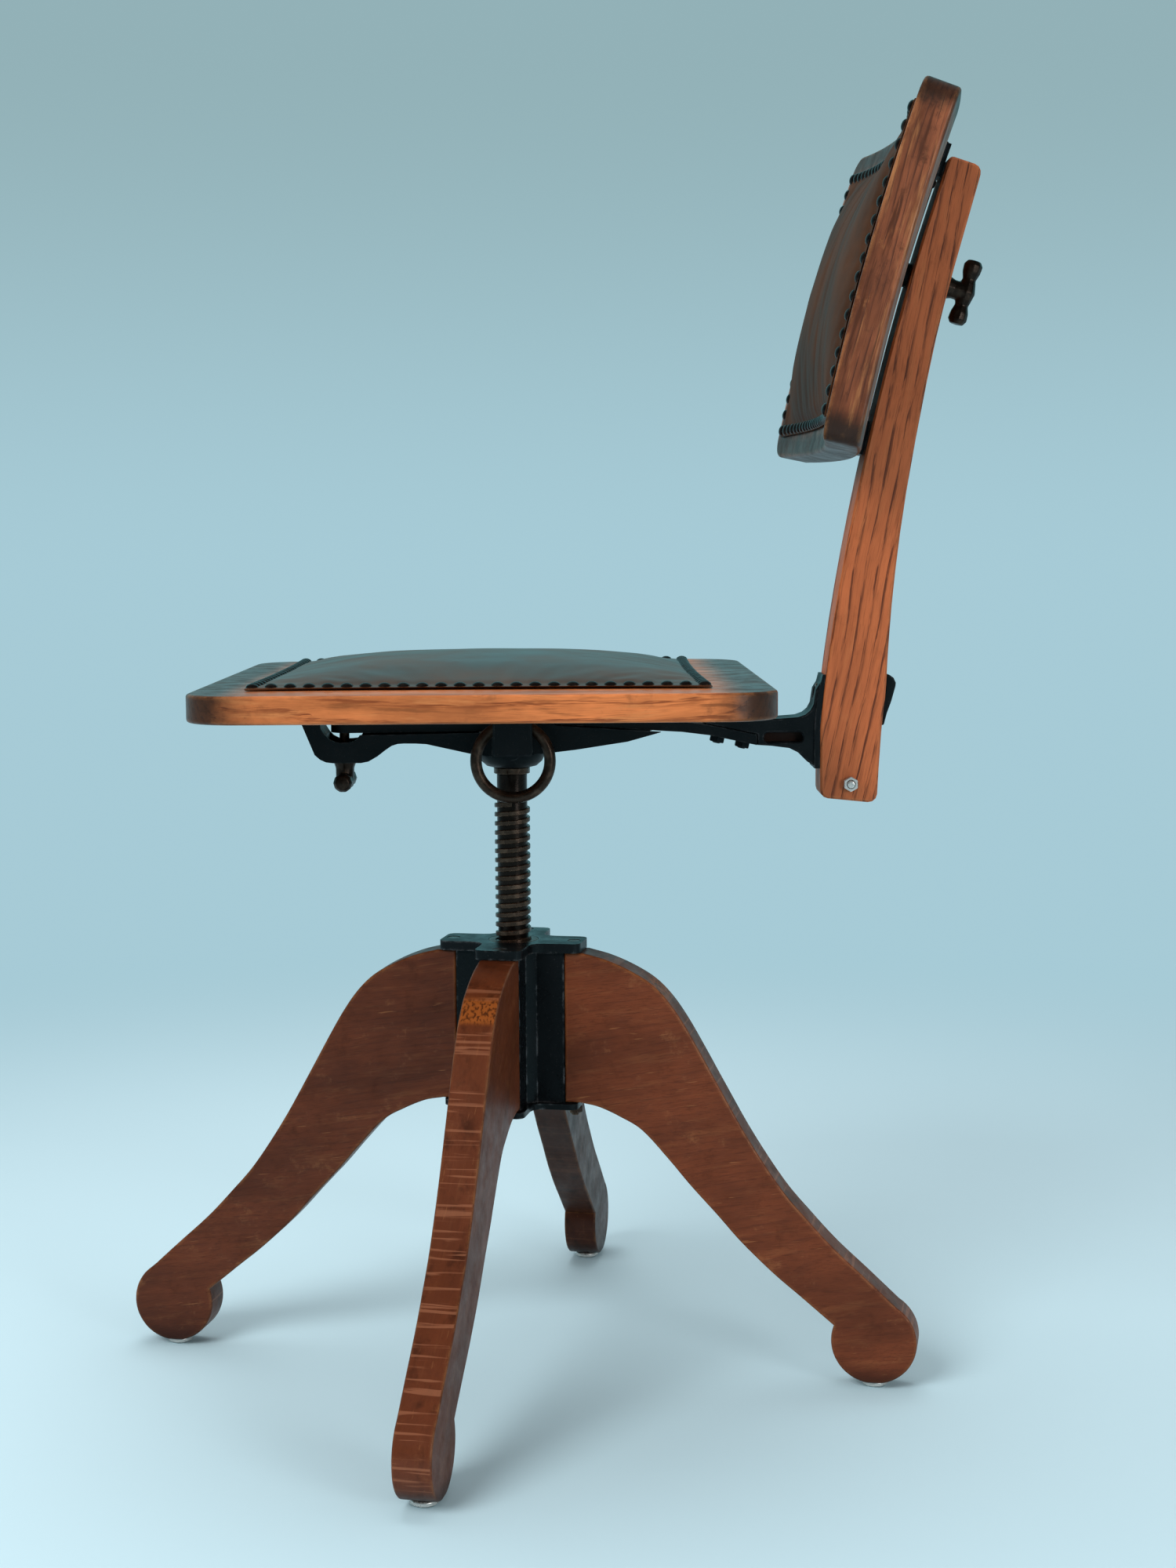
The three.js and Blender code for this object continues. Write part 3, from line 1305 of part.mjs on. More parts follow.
const chair = new THREE.Group();
chair.add(base());
chair.add(spindle(), thrustWasher(), lockCollar());
chair.add(seatIron(), ...screwPlaces().map(seatScrew), lockPlunger(), plungerSpring(), pullRing());
chair.add(springBar(), tensionBolt(), frontWingNut(), seatBoard(), seatPad());
chair.add(backPost(), crossBolt(), crossBoltNut(), shoe(), clampPlate(), clampBolt());
chair.add(...shoeBoltFrames().map(shoeBolt), ...shoeBoltFrames().map(shoeNut));
chair.add(backBoard(), backPad(), heightTrack(), ...trackScrewFrames().map(trackScrew));
chair.add(trackBolt(), trackSpacer(), rearWingNut());

const footprint = new THREE.Box3().setFromObject(chair, true);
chair.position.y = -(footprint.min.y + footprint.max.y) / 2;
chair.updateMatrixWorld(true);

export default chair;
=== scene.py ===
"""Dresses the bankers swivel chair in oak, black iron, steel and nailed leather."""

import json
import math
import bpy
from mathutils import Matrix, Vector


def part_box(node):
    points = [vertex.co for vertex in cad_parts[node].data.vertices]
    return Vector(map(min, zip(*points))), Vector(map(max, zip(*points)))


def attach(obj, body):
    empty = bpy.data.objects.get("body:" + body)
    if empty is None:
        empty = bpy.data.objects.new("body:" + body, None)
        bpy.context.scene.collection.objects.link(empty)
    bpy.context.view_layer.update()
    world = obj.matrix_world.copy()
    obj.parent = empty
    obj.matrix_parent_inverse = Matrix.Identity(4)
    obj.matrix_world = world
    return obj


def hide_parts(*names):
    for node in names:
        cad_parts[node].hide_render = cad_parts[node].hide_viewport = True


bl_info = {
    "name": "Bankers Swivel Chair",
    "version": (1, 0, 0),
    "blender": (4, 5, 0),
    "location": "View3D > Sidebar > Chair",
    "description": "Makes the wood, iron and leather of a swivel chair around its fixed frame",
    "category": "Object",
}

import bmesh
import bpy
from bpy.props import FloatProperty, FloatVectorProperty, IntProperty, PointerProperty
from mathutils import Matrix, Vector

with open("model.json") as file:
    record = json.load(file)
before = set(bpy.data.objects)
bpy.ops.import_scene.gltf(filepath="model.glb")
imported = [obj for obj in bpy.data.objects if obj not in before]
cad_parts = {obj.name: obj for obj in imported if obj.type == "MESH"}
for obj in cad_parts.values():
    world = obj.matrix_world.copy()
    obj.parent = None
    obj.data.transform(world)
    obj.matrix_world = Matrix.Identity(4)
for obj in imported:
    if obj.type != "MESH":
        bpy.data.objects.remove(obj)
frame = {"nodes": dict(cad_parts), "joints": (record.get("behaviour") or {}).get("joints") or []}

MM = 0.001
HAIR = 0.01 * MM  # a rise that counts as none
TOUCH = 0.001 * MM  # vertices this close are one
FULL_TURN = 2 * math.pi
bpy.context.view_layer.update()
JOINTS = {joint["name"]: joint for joint in frame["joints"]}


def middle_of(node):
    low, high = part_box(node)
    return (low + high) / 2


SPINDLE_AXIS = Vector((0, middle_of("spindle").y, 0))
BACK_ARC = Vector(JOINTS["backrest_height"]["pos_m"])


# Sizes and colours that someone may change


def length(name, description, default):
    return FloatProperty(
        name=name, description=description, default=default, min=0, unit="LENGTH", precision=4
    )


def colour(name, description, default):
    return FloatVectorProperty(
        name=name, description=description, default=default, size=3, min=0, max=1, subtype="COLOR"
    )


class ChairSizes(bpy.types.PropertyGroup):
    arris: length("Arris", "Rounding along the edges of the sawn oak", 0.0019)
    nail_head: length("Nail head", "Width of an upholstery nail's head", 0.0092)
    nail_dome: length("Nail dome", "Height of an upholstery nail's head", 0.003)
    nail_pitch: length("Nail pitch", "Distance between the upholstery nails", 0.0127)
    nail_inset: length("Nail inset", "From the edge of the leather to the row of nails", 0.0054)
    cloth_pitch: length("Leather mesh", "Size of the leather's mesh", 0.0046)
    thread_steps: IntProperty(
        name="Thread steps", description="Steps in one turn of the thread", default=32, min=12
    )


class ChairColours(bpy.types.PropertyGroup):
    leg_oak: colour("Leg oak", "Stained oak of the legs", (0.1, 0.0245, 0.0085))
    leg_oak_deep: colour("Leg oak grain", "Grain and stain of the legs", (0.035, 0.009, 0.004))
    seat_oak: colour("Seat oak", "Oak of the seat", (0.5, 0.15, 0.046))
    seat_oak_deep: colour("Seat oak grain", "Grain of the seat", (0.2, 0.05, 0.015))
    post_oak: colour("Post oak", "Oak of the back post", (0.41, 0.108, 0.036))
    post_oak_deep: colour("Post oak grain", "Grain of the back post", (0.085, 0.02, 0.008))
    back_oak: colour("Back oak", "Oak of the back board", (0.165, 0.049, 0.021))
    back_oak_deep: colour("Back oak grain", "Grain of the back board", (0.06, 0.018, 0.009))
    bare_oak: colour("Worn oak", "Oak where the stain is rubbed off", (0.56, 0.25, 0.09))
    leather: colour("Leather", "Waxed leather of the pads", (0.058, 0.022, 0.0095))
    leather_deep: colour("Leather creases", "Leather in its creases", (0.02, 0.009, 0.006))
    iron: colour("Black iron", "Japanned castings", (0.0035, 0.0042, 0.005))
    rubbed_iron: colour("Rubbed iron", "Iron where the black is rubbed off", (0.2, 0.2, 0.205))
    steel: colour("Old steel", "Blackened steel", (0.045, 0.028, 0.019))
    rubbed_steel: colour("Rubbed steel", "Steel where it is rubbed", (0.34, 0.23, 0.16))
    bright_steel: colour("Bright steel", "Zinc and polished steel", (0.62, 0.61, 0.58))
    backdrop: colour("Backdrop", "Paper behind the chair", (0.385, 0.595, 0.675))
    # Painted shade: the backdrop darkens upward to this colour.
    shaded_backdrop_top: colour("Backdrop's top", "Paper high above the chair", (0.29, 0.44, 0.475))
    mirrored: colour("Mirrored room", "Room as varnish and iron show it", (0.21, 0.53, 0.585))
    floor: colour("Floor", "Paper under the chair", (0.54, 0.73, 0.8))


def sizes():
    return bpy.context.scene.chair_sizes


def tint(name):
    return tuple(getattr(bpy.context.scene.chair_colours, name))


def shaded(tone, share):
    return tuple(min(1, c * share) for c in tone)


def blended(a, b, share):
    return tuple((1 - share) * x + share * y for x, y in zip(a, b))


# Finishes


class Nodes:
    """A node tree that is built step by step."""

    def __init__(self, tree):
        self.tree = tree

    def add(self, kind, inputs=None, **settings):
        node = self.tree.nodes.new("ShaderNode" + kind)
        for name, value in settings.items():
            setattr(node, name, value)
        for name, value in (inputs or {}).items():
            self.put(node.inputs[name], value)
        return node

    def put(self, socket, value):
        if isinstance(value, bpy.types.NodeSocket):
            self.tree.links.new(value, socket)
        elif socket.type == "RGBA" and len(value) == 3:
            socket.default_value = (*value, 1)
        else:
            socket.default_value = value

    def place(self, turn=(0, 0, 0), shift=(0, 0, 0), stretch=(1, 1, 1), vector=None):
        """The object's own coordinates, or the given ones, turned, shifted and stretched."""
        if vector is None:
            vector = self.add("TexCoord").outputs["Object"]
        settings = {"Vector": vector, "Location": shift, "Rotation": turn, "Scale": stretch}
        return self.add("Mapping", settings).outputs["Vector"]

    def noise(self, vector, scale, detail=3, roughness=0.55, distortion=0):
        return self.add("TexNoise", {
            "Vector": vector, "Scale": scale, "Detail": detail, "Roughness": roughness,
            "Distortion": distortion,
        }).outputs["Fac"]

    def span(self, value, low, high, to_low=0, to_high=1):
        """A value eased from one range to another."""
        return self.add(
            "MapRange", {0: value, 1: low, 2: high, 3: to_low, 4: to_high},
            interpolation_type="SMOOTHSTEP",
        ).outputs["Result"]

    def calc(self, operation, a, b=0.0):
        return self.add("Math", {0: a, 1: b}, operation=operation).outputs[0]

    def times(self, a, b):
        return self.calc("MULTIPLY", a, b)

    def plus(self, a, b):
        return self.calc("ADD", a, b)

    def minus(self, a, b):
        return self.calc("SUBTRACT", a, b)

    def reach(self, vector):
        return self.add("VectorMath", {0: vector}, operation="LENGTH").outputs["Value"]

    def mix(self, share, a, b):
        return self.add("Mix", {"Factor": share, 6: a, 7: b}, data_type="RGBA").outputs[2]


class Finish(Nodes):
    """A material whose shader is fed step by step."""

    def __init__(self, name):
        self.material = bpy.data.materials.new(name)
        self.material.use_nodes = True
        super().__init__(self.material.node_tree)
        self.shader = self.tree.nodes["Principled BSDF"]

    def worn_edges(self, radius, low, high, rub):
        """Where a rounded edge turns away from its face, broken up by the rub."""
        normal = self.add("NewGeometry").outputs["Normal"]
        rounded = self.add("Bevel", {"Radius": radius}, samples=2).outputs["Normal"]
        facing = self.add("VectorMath", {0: normal, 1: rounded}, operation="DOT_PRODUCT")
        edge = self.span(self.minus(1, facing.outputs["Value"]), low, high)
        return self.times(edge, rub)

    def relief(self, height, distance, strength):
        bump = self.add("Bump", {"Height": height, "Distance": distance, "Strength": strength})
        self.put(self.shader.inputs["Normal"], bump.outputs["Normal"])

    def set(self, socket, value):
        self.put(self.shader.inputs[socket], value)


GRAIN_WARP = 11 * MM  # how far the grain wanders
WORN_OAK_EDGE = 2.6 * MM
END_BLUR = 4 * MM
OAK_RELIEF = 0.2 * MM
# colour of the painted shade at the ends of a board
END_SHADE = (0.016, 0.009, 0.006)


def oak(name, tone, deep, turn, shift, pitch, lines, mottle, wear, streaks, ends=None, gloss=0.42):
    """Stained oak. Turn brings the grain to X, the rings run round X, and the ends get painted
    shade.
    """
    wood = Finish(name)
    bare = tint("bare_oak")
    grain = wood.place(turn, shift)
    coarse = wood.place(stretch=(0.4, 1, 1), vector=grain)
    wander = wood.add("TexNoise", {"Vector": coarse, "Scale": 17, "Detail": 2})
    sway = wood.add(
        "VectorMath", {0: wander.outputs["Color"], 1: (0, GRAIN_WARP, GRAIN_WARP), 2: grain},
        operation="MULTIPLY_ADD",
    )
    bent = sway.outputs["Vector"]

    def along(stretch):
        return wood.place(stretch=(stretch, 1, 1), vector=bent)

    ring = wood.add(
        "TexWave", {"Vector": along(0.05), "Scale": 0.314 / pitch, "Distortion": 0.8, "Detail": 2,
                    "Detail Scale": 1.4},
        wave_type="RINGS", rings_direction="X", wave_profile="SAW",
    ).outputs["Fac"]
    pores = wood.noise(along(0.045), 620, 3, 0.65)
    dash = wood.times(wood.span(ring, 0.5, 0.95, 0, lines), wood.span(pores, 0.43, 0.58, 0.05, 1))
    fine = wood.span(wood.noise(along(0.03), 1500, 2, 0.6), 0.5, 0.7, 0, 0.5)
    cloud = wood.span(wood.noise(along(0.35), 24, 4, 0.65), 0.3, 0.7)
    stain = wood.noise(grain, 52, 5, 0.7)
    base = wood.mix(cloud, shaded(tone, 1 - 0.35 * mottle), shaded(tone, 1 + 0.3 * mottle))
    base = wood.mix(wood.span(stain, 0.56, 0.74, 0, 0.6 * mottle), base, shaded(tone, 0.42))
    base = wood.mix(wood.span(stain, 0.42, 0.28, 0, 0.35 * mottle), base, blended(tone, bare, 0.35))
    worn = wood.noise(along(0.1), 150, 4, 0.65)
    base = wood.mix(wood.span(worn, 0.53, 0.68, 0, streaks), base, blended(tone, bare, 0.42))
    base = wood.mix(wood.span(worn, 0.46, 0.32, 0, 1.3 * streaks), base, shaded(tone, 0.4))
    base = wood.mix(fine, base, shaded(tone, 0.45))
    base = wood.mix(dash, base, deep)
    scratch = wood.place((0.3, 0.35, 0.6), stretch=(0.03, 1, 1), vector=grain)
    scratch = wood.noise(scratch, 420, 2, 0.5)
    base = wood.mix(wood.span(scratch, 0.69, 0.75, 0, 0.5 * wear), base, blended(tone, bare, 0.4))
    # Painted shade: the board darkens towards both its ends.
    if ends:
        middle, half, reach, share = ends
        run = wood.add("SeparateXYZ", {"Vector": grain}).outputs["X"]
        away = wood.calc("ABSOLUTE", wood.minus(run, middle))
        away = wood.plus(away, wood.span(stain, 0.2, 0.8, -END_BLUR, END_BLUR))
        base = wood.mix(wood.span(away, half - reach, half - 0.35 * reach, 0, share), base, END_SHADE)
    # Pale worn arrises are real wear; where wear is set high, as on the back board, they also paint
    # a highlight along the edge.
    rub = wood.span(wood.noise(grain, 75, 4, 0.7), 0.4, 0.6, 0.1, 1)
    edge = wood.worn_edges(WORN_OAK_EDGE, 0.015, 0.12, rub)
    wood.base = wood.mix(wood.times(edge, 0.7 * wear), base, blended(tone, bare, 0.65))
    wood.set("Base Color", wood.base)
    polish = wood.span(stain, 0.3, 0.75, gloss - 0.07, gloss + 0.12)
    wood.set("Roughness", wood.minus(polish, wood.times(edge, 0.14)))
    wood.set("Specular IOR Level", 0.2)
    dents = wood.plus(wood.times(stain, 0.6), wood.times(dash, -0.5))
    wood.relief(wood.plus(dents, wood.times(pores, 0.25)), OAK_RELIEF, 0.5)
    return wood


# Painted light and shade: a share for each leg that lightens or darkens its oak, the far leg
# painted dark as in shadow and the right leg painted lit.
LEG_LIGHT_SHARES = (1, 1.28, 0.42, 0.86)
LEG_RAY = (0.34, 0.13, 0.065)
LEG_BAND = (0.26, 0.068, 0.012)
GRAIN_SLOPE = math.radians(52)
BAND_RISE = (0.289, 0.293)  # heights between which the rubbed band of a leg comes in
BAND_FADE = (0.308, 0.303)
ROOT_SHADE = (0.312, 0.325)
FOOT_SHADE = (0.022, 0.006)


def leg_oak(k, turn):
    """Oak of one leg: pale rays across its edges, a rubbed band near its root and a dark foot."""
    # share is the painted light on this leg; the painted dark leg also gets fewer rays
    share = LEG_LIGHT_SHARES[k]
    tone, deep = shaded(tint("leg_oak"), share), shaded(tint("leg_oak_deep"), share)
    slope = GRAIN_SLOPE if k % 2 else -GRAIN_SLOPE
    wood = oak(
        f"leg oak {k + 1}", tone, deep, (0, slope, -turn), (0.3 * k, 0.05 + 0.03 * k, 0.02),
        pitch=5 * MM, lines=0.3, mottle=0.8, wear=0.9, streaks=0.12,
    )
    on_edge = wood.add("Attribute", attribute_name="edge_face").outputs["Fac"]
    place = wood.add("TexCoord").outputs["Object"]
    height = wood.add("SeparateXYZ", {"Vector": place}).outputs["Z"]

    def marked(base, mark, colour_there):
        return wood.mix(wood.times(mark, on_edge), base, colour_there)

    rays = wood.place((0.05, 0.12, 0), (0, 0, 0.1 * k), (8, 8, 300), place)
    rays = wood.noise(rays, 1, 3, 0.6, 0.6)
    smear = wood.noise(wood.place(stretch=(60, 60, 34), vector=place), 1, 4, 0.65)
    strokes = wood.noise(wood.place(stretch=(480, 480, 14), vector=place), 1, 1, 0.5)
    band = wood.times(wood.span(height, *BAND_RISE), wood.span(height, *BAND_FADE))
    base = wood.mix(wood.times(on_edge, 0.5), wood.base, shaded(tone, 1.05))
    base = marked(base, wood.span(smear, 0.5, 0.72, 0, 0.8), shaded(tone, 0.35))
    base = marked(base, wood.span(rays, 0.56, 0.63, 0, 0.38 * min(1, share ** 2)), LEG_RAY)
    base = marked(base, wood.times(band, 0.85), LEG_BAND)
    base = marked(base, wood.times(band, wood.span(strokes, 0.42, 0.68, 0, 0.8)), shaded(deep, 0.6))
    base = marked(base, wood.span(height, *ROOT_SHADE, 0, 0.5), shaded(tone, 0.45))
    base = wood.mix(wood.span(height, *FOOT_SHADE, 0, 0.8), base, shaded(deep, 0.5))
    wood.set("Base Color", base)
    return wood.material


IRON_SCUFF = 1.1 * MM
HUB_SCUFF = 2.4 * MM
IRON_RELIEF = 0.16 * MM


def black_iron(name, wear, roughness, scuff=IRON_SCUFF):
    """Japanned cast iron, rubbed grey along its edges."""
    iron = Finish(name)
    grain = iron.place()
    casting = iron.noise(grain, 420, 3, 0.6)
    dust = iron.noise(grain, 34, 4, 0.65)
    rub = iron.span(iron.noise(grain, 95, 4, 0.7), 0.46, 0.66)
    edge = iron.worn_edges(scuff, 0.02, 0.14, rub)
    worn = iron.times(edge, wear)
    specks = iron.span(iron.noise(grain, 900, 1, 0.5), 0.7, 0.76, 0, 0.3)
    tone, rubbed = tint("iron"), tint("rubbed_iron")
    base = iron.mix(iron.span(dust, 0.35, 0.75), tone, shaded(tone, 1.5))
    base = iron.mix(specks, base, shaded(rubbed, 0.3))
    iron.set("Base Color", iron.mix(worn, base, rubbed))
    iron.set("Metallic", iron.times(worn, 0.8))
    iron.set("Roughness", iron.span(dust, 0.3, 0.75, roughness - 0.08, roughness + 0.16))
    iron.set("Specular IOR Level", 0.11)
    # Painted reflection: the tint colours the iron's reflections teal, like the room around it.
    iron.set("Specular Tint", (0.72, 0.97, 1))
    iron.relief(iron.plus(casting, iron.times(dust, 1.6)), IRON_RELIEF, 0.55)
    return iron.material


STEEL_SCUFF = 0.8 * MM
STEEL_RELIEF = 0.05 * MM
CREST_LIP, GROOVE_SHADE_FULL = 0.8 * MM, 1.6 * MM  # depths below the crest at which the painted shade in the grooves begins and is full
RUBBED_ZINC = (0.75, 0.74, 0.71)
RUBBED_SPRING = (0.7, 0.7, 0.68)
NAIL, RUBBED_NAIL = (0.014, 0.01, 0.009), (0.1, 0.065, 0.045)
RUST, PALE_RUST = (0.016, 0.008, 0.006), (0.06, 0.026, 0.016)


def steel(name, tone, rubbed, wear=0.8, roughness=0.34, crest=None):
    """Steel that is brighter where rubbed, with painted shade in a thread's grooves below its crest
    radius.
    """
    metal = Finish(name)
    grain = metal.place()
    patch = metal.noise(grain, 120, 4, 0.6)
    fine = metal.noise(metal.place(stretch=(1, 1, 6)), 700, 2, 0.6)
    rub = metal.span(metal.noise(grain, 240, 3, 0.6), 0.38, 0.62, 0.1, 1)
    edge = metal.worn_edges(STEEL_SCUFF, 0.02, 0.22, rub)
    base = metal.mix(metal.span(patch, 0.45, 0.7, 0, 0.3 * wear), tone, rubbed)
    base = metal.mix(metal.times(edge, wear), base, rubbed)
    base = metal.mix(metal.span(fine, 0.58, 0.72, 0, 0.5), base, shaded(tone, 0.35))
    if crest:
        # Painted shade: the thread darkens towards the bottom of its grooves.
        radius = metal.reach(metal.place(shift=-SPINDLE_AXIS, stretch=(1, 1, 0)))
        painted_groove_shade = metal.span(radius, crest - CREST_LIP, crest - GROOVE_SHADE_FULL, 0, 0.9)
        base = metal.mix(painted_groove_shade, base, shaded(tone, 0.12))
    metal.set("Base Color", base)
    metal.set("Metallic", 0.7)
    metal.set("Specular IOR Level", 0.25)
    metal.set("Roughness", metal.span(patch, 0.3, 0.7, roughness - 0.08, roughness + 0.12))
    metal.relief(fine, STEEL_RELIEF, 0.5)
    return metal.material


def old_steel(name, share=1, rubbed_share=1, **settings):
    tone, rubbed = shaded(tint("steel"), share), shaded(tint("rubbed_steel"), rubbed_share)
    return steel(name, tone, rubbed, **settings)


LEATHER_SCUFF = 1.2 * MM
LEATHER_RELIEF = 0.2 * MM


def leather(name, sheen, roughness=0.3):
    """Smooth waxed leather with a fine pebble and soft creases."""
    hide = Finish(name)
    grain = hide.place()
    pebble = hide.add("TexVoronoi", {"Vector": grain, "Scale": 760}).outputs["Distance"]
    crease = hide.noise(hide.place(turn=(0, 0, 0.5), stretch=(1, 0.5, 1)), 60, 4, 0.62, 1.2)
    cloud = hide.noise(grain, 13, 4, 0.6)
    tone = tint("leather")
    base = hide.mix(hide.span(cloud, 0.3, 0.72), shaded(tone, 0.65), shaded(tone, 1.3))
    base = hide.mix(hide.span(crease, 0.55, 0.7, 0, 0.15), base, tint("leather_deep"))
    edge = hide.worn_edges(LEATHER_SCUFF, 0.03, 0.3, hide.span(crease, 0.35, 0.6))
    hide.set("Base Color", hide.mix(hide.times(edge, 0.3), base, shaded(tone, 2.4)))
    hide.set("Roughness", hide.span(cloud, 0.3, 0.7, roughness, roughness + 0.1))
    hide.set("Specular IOR Level", sheen)
    # Painted reflection: the tint turns the leather's reflections green-blue, like the room around
    # it.
    hide.set("Specular Tint", (0.8, 1, 0.95))
    hide.relief(hide.plus(hide.times(pebble, 0.3), hide.times(crease, 0.15)), LEATHER_RELIEF, 0.4)
    return hide.material


# Making of pieces

CLOSE = 0.004 * MM  # vertices of a node this close are one
LEVEL = math.radians(0.6)  # faces this close to one plane are one
EASED = {  # rounding along the edges of each piece, in millimetres
    "hub": 0.7, "leg_bolt": 0.25, "leg_bolt_nut": 0.3, "glide": 0.3, "spindle_nut": 0.4,
    "lock_collar": 0.3, "thrust_washer": 0.4, "seat_iron": 0.8, "lock_plunger": 0.6,
    "seat_screw": 0.25, "spring_bar": 0.9, "tension_bolt": 0.3, "back_shoe": 0.9,
    "shoe_bolt": 0.5, "shoe_bolt_nut": 0.6, "clamp_plate": 1.4, "clamp_bolt": 0.25,
    "back_post": 1.0, "cross_bolt": 0.4, "cross_bolt_nut": 0.4, "height_track": 0.6,
    "track_spacer": 0.4, "track_bolt": 0.3, "track_screw": 0.2,
}


def add_object(name, data):
    thing = bpy.data.objects.new(name, data)
    bpy.context.scene.collection.objects.link(thing)
    return thing


def made_mesh(name, shape, *materials):
    mesh = bpy.data.meshes.new(name)
    shape.to_mesh(mesh)
    shape.free()
    for material in materials:
        mesh.materials.append(material)
    return mesh


def add_piece(name, shape, body, material, replaces=()):
    """A finished piece from a shape that stands in its place."""
    piece = add_object(name, made_mesh(name, shape, material))
    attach(piece, body)
    if replaces:
        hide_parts(*replaces)
    return piece


def shade(shape, angle):
    """Smooth faces, with edges sharper than the angle kept crisp."""
    limit = math.radians(angle)
    for face in shape.faces:
        face.smooth = True
    for edge in shape.edges:
        edge.smooth = not (edge.is_manifold and edge.calc_face_angle(0) > limit)


def settle(shape, angle=40):
    """The last touch on a shape: faces turned outward and shaded."""
    bmesh.ops.recalc_face_normals(shape, faces=shape.faces)
    shade(shape, angle)


def block(low, high):
    """A square-edged block between two corners."""
    shape = bmesh.new()
    bmesh.ops.create_cube(shape, size=1)
    bmesh.ops.scale(shape, vec=high - low, verts=shape.verts)
    bmesh.ops.translate(shape, vec=(low + high) / 2, verts=shape.verts)
    return shape


def round_edges(shape, axis, along, radius, segments):
    """Rounds the edges that run along an axis, or else those that lie square to it."""
    rises = [(e, abs(e.verts[0].co[axis] - e.verts[1].co[axis])) for e in shape.edges]
    bmesh.ops.bevel(
        shape, geom=[e for e, rise in rises if (rise > MM if along else rise < HAIR)],
        offset=radius, offset_type="OFFSET", affect="EDGES", segments=segments, profile=0.5,
        material=-1, clamp_overlap=True,
    )


def whole_turn(shape, outline, axis, steps):
    bmesh.ops.spin(
        shape, geom=outline, cent=(0, 0, 0), axis=axis, dvec=(0, 0, 0), angle=FULL_TURN,
        steps=steps, use_merge=True,
    )


def turn_on_lathe(shape, profile, steps):
    """Adds a closed turned shape: an outline [radius, height] spun round Z."""
    verts = [shape.verts.new((r, 0, z)) for r, z in profile]
    edges = [shape.edges.new(pair) for pair in zip(verts, verts[1:])]
    whole_turn(shape, verts + edges, (0, 0, 1), steps)
    on_axis = [v for v in shape.verts if v.co.xy.length < TOUCH]
    bmesh.ops.remove_doubles(shape, verts=on_axis, dist=TOUCH)


def even_normals(piece):
    modifier = piece.modifiers.new("even normals", "WEIGHTED_NORMAL")
    modifier.keep_sharp = True
    modifier.weight = 60


def dress(node, body, material, angle=35, segments=2):
    """A piece that keeps its node's shape, with flat faces joined and sharp edges rounded."""
    shape = bmesh.new()
    shape.from_mesh(frame["nodes"][node].data)
    bmesh.ops.remove_doubles(shape, verts=shape.verts, dist=CLOSE)
    bmesh.ops.dissolve_limit(
        shape, angle_limit=LEVEL, verts=shape.verts, edges=shape.edges, delimit=set()
    )
    shade(shape, angle)
    piece = add_piece(node + "_worked", shape, body, material, [node])
    width = EASED.get(node.rstrip("_1234"), 0) * MM
    if width:
        eased = piece.modifiers.new("eased edges", "BEVEL")
        eased.width = width
        eased.segments = segments
        eased.limit_method = "ANGLE"
        eased.angle_limit = math.radians(angle)
        even_normals(piece)
    return piece


def wing_nut(node, material):
    """A cast wing nut, its form softened all over."""
    piece = dress(node, node, material)
    soften = piece.modifiers.new("cast form", "REMESH")
    soften.mode = "VOXEL"
    soften.voxel_size = 0.7 * MM
    soften.use_smooth_shade = True
    smooth = piece.modifiers.new("rounded", "SMOOTH")
    smooth.factor = 0.6
    smooth.iterations = 2


def smooth_run(places, steps):
    """Points on a smooth curve through the places, evenly spread over its spans."""
    points = [Vector(place) for place in places]
    ends = [points[0] * 2 - points[1], *points, points[-1] * 2 - points[-2]]
    run = []
    for i in range(len(points) - 1):
        p0, p1, p2, p3 = ends[i:i + 4]
        for k in range(steps):
            t = k / steps
            a = p1 * 2
            b = (p2 - p0) * t
            c = (p0 * 2 - p1 * 5 + p2 * 4 - p3) * t ** 2
            d = (p1 * 3 - p0 - p2 * 3 + p3) * t ** 3
            run.append((a + b + c + d) / 2)
    return run + [points[-1]]


def round_run(centre, radius, start, end, steps):
    return [
        Vector(centre) + radius * Vector((math.cos(a), math.sin(a)))
        for a in (start + (end - start) * k / steps for k in range(steps + 1))
    ]


def sawn(points, thickness, edge):
    """A board sawn to an outline in X and Z, thick in Y, its edges rounded."""
    shape = bmesh.new()
    kept = [p for i, p in enumerate(points) if i == 0 or (p - points[i - 1]).length > 2 * HAIR]
    face = shape.faces.new([shape.verts.new((p.x, -thickness / 2, p.y)) for p in kept])
    grown = bmesh.ops.extrude_face_region(shape, geom=[face], use_keep_orig=True)
    moved = [v for v in grown["geom"] if isinstance(v, bmesh.types.BMVert)]
    bmesh.ops.translate(shape, verts=moved, vec=(0, thickness, 0))
    bmesh.ops.recalc_face_normals(shape, faces=shape.faces)
    round_edges(shape, 1, False, edge, 3)
    return shape


# Pieces of the base

# A leg's outline, in millimetres out from the spindle and up from the floor
ROOT_REACH, ROOT_TOP, ROOT_BOTTOM = 42.0, 324.7, 209.8
TOP_START, UNDER_START = 56.3, 53.8  # where the straight edges of the root stop
FOOT_REACH, FOOT_HEIGHT, FOOT_RADIUS, FOOT_FLAT = 276, 36.5, 32, 0.5
FOOT_TOP, FOOT_NOTCH = math.radians(58), math.radians(-200.3)  # where the ball meets the curves
LEG_TURN = math.radians(-11.68)
LEG_THICKNESS = 27.5 * MM
LEG_TOP = [  # places on the curve, as shares of the way from the root to the foot and of its rise
    (0.137, 0.984), (0.214, 0.958), (0.282, 0.925), (0.338, 0.88), (0.389, 0.821), (0.444, 0.744),
    (0.504, 0.656), (0.598, 0.522), (0.701, 0.397), (0.786, 0.317), (0.872, 0.243), (0.974, 0.168),
]
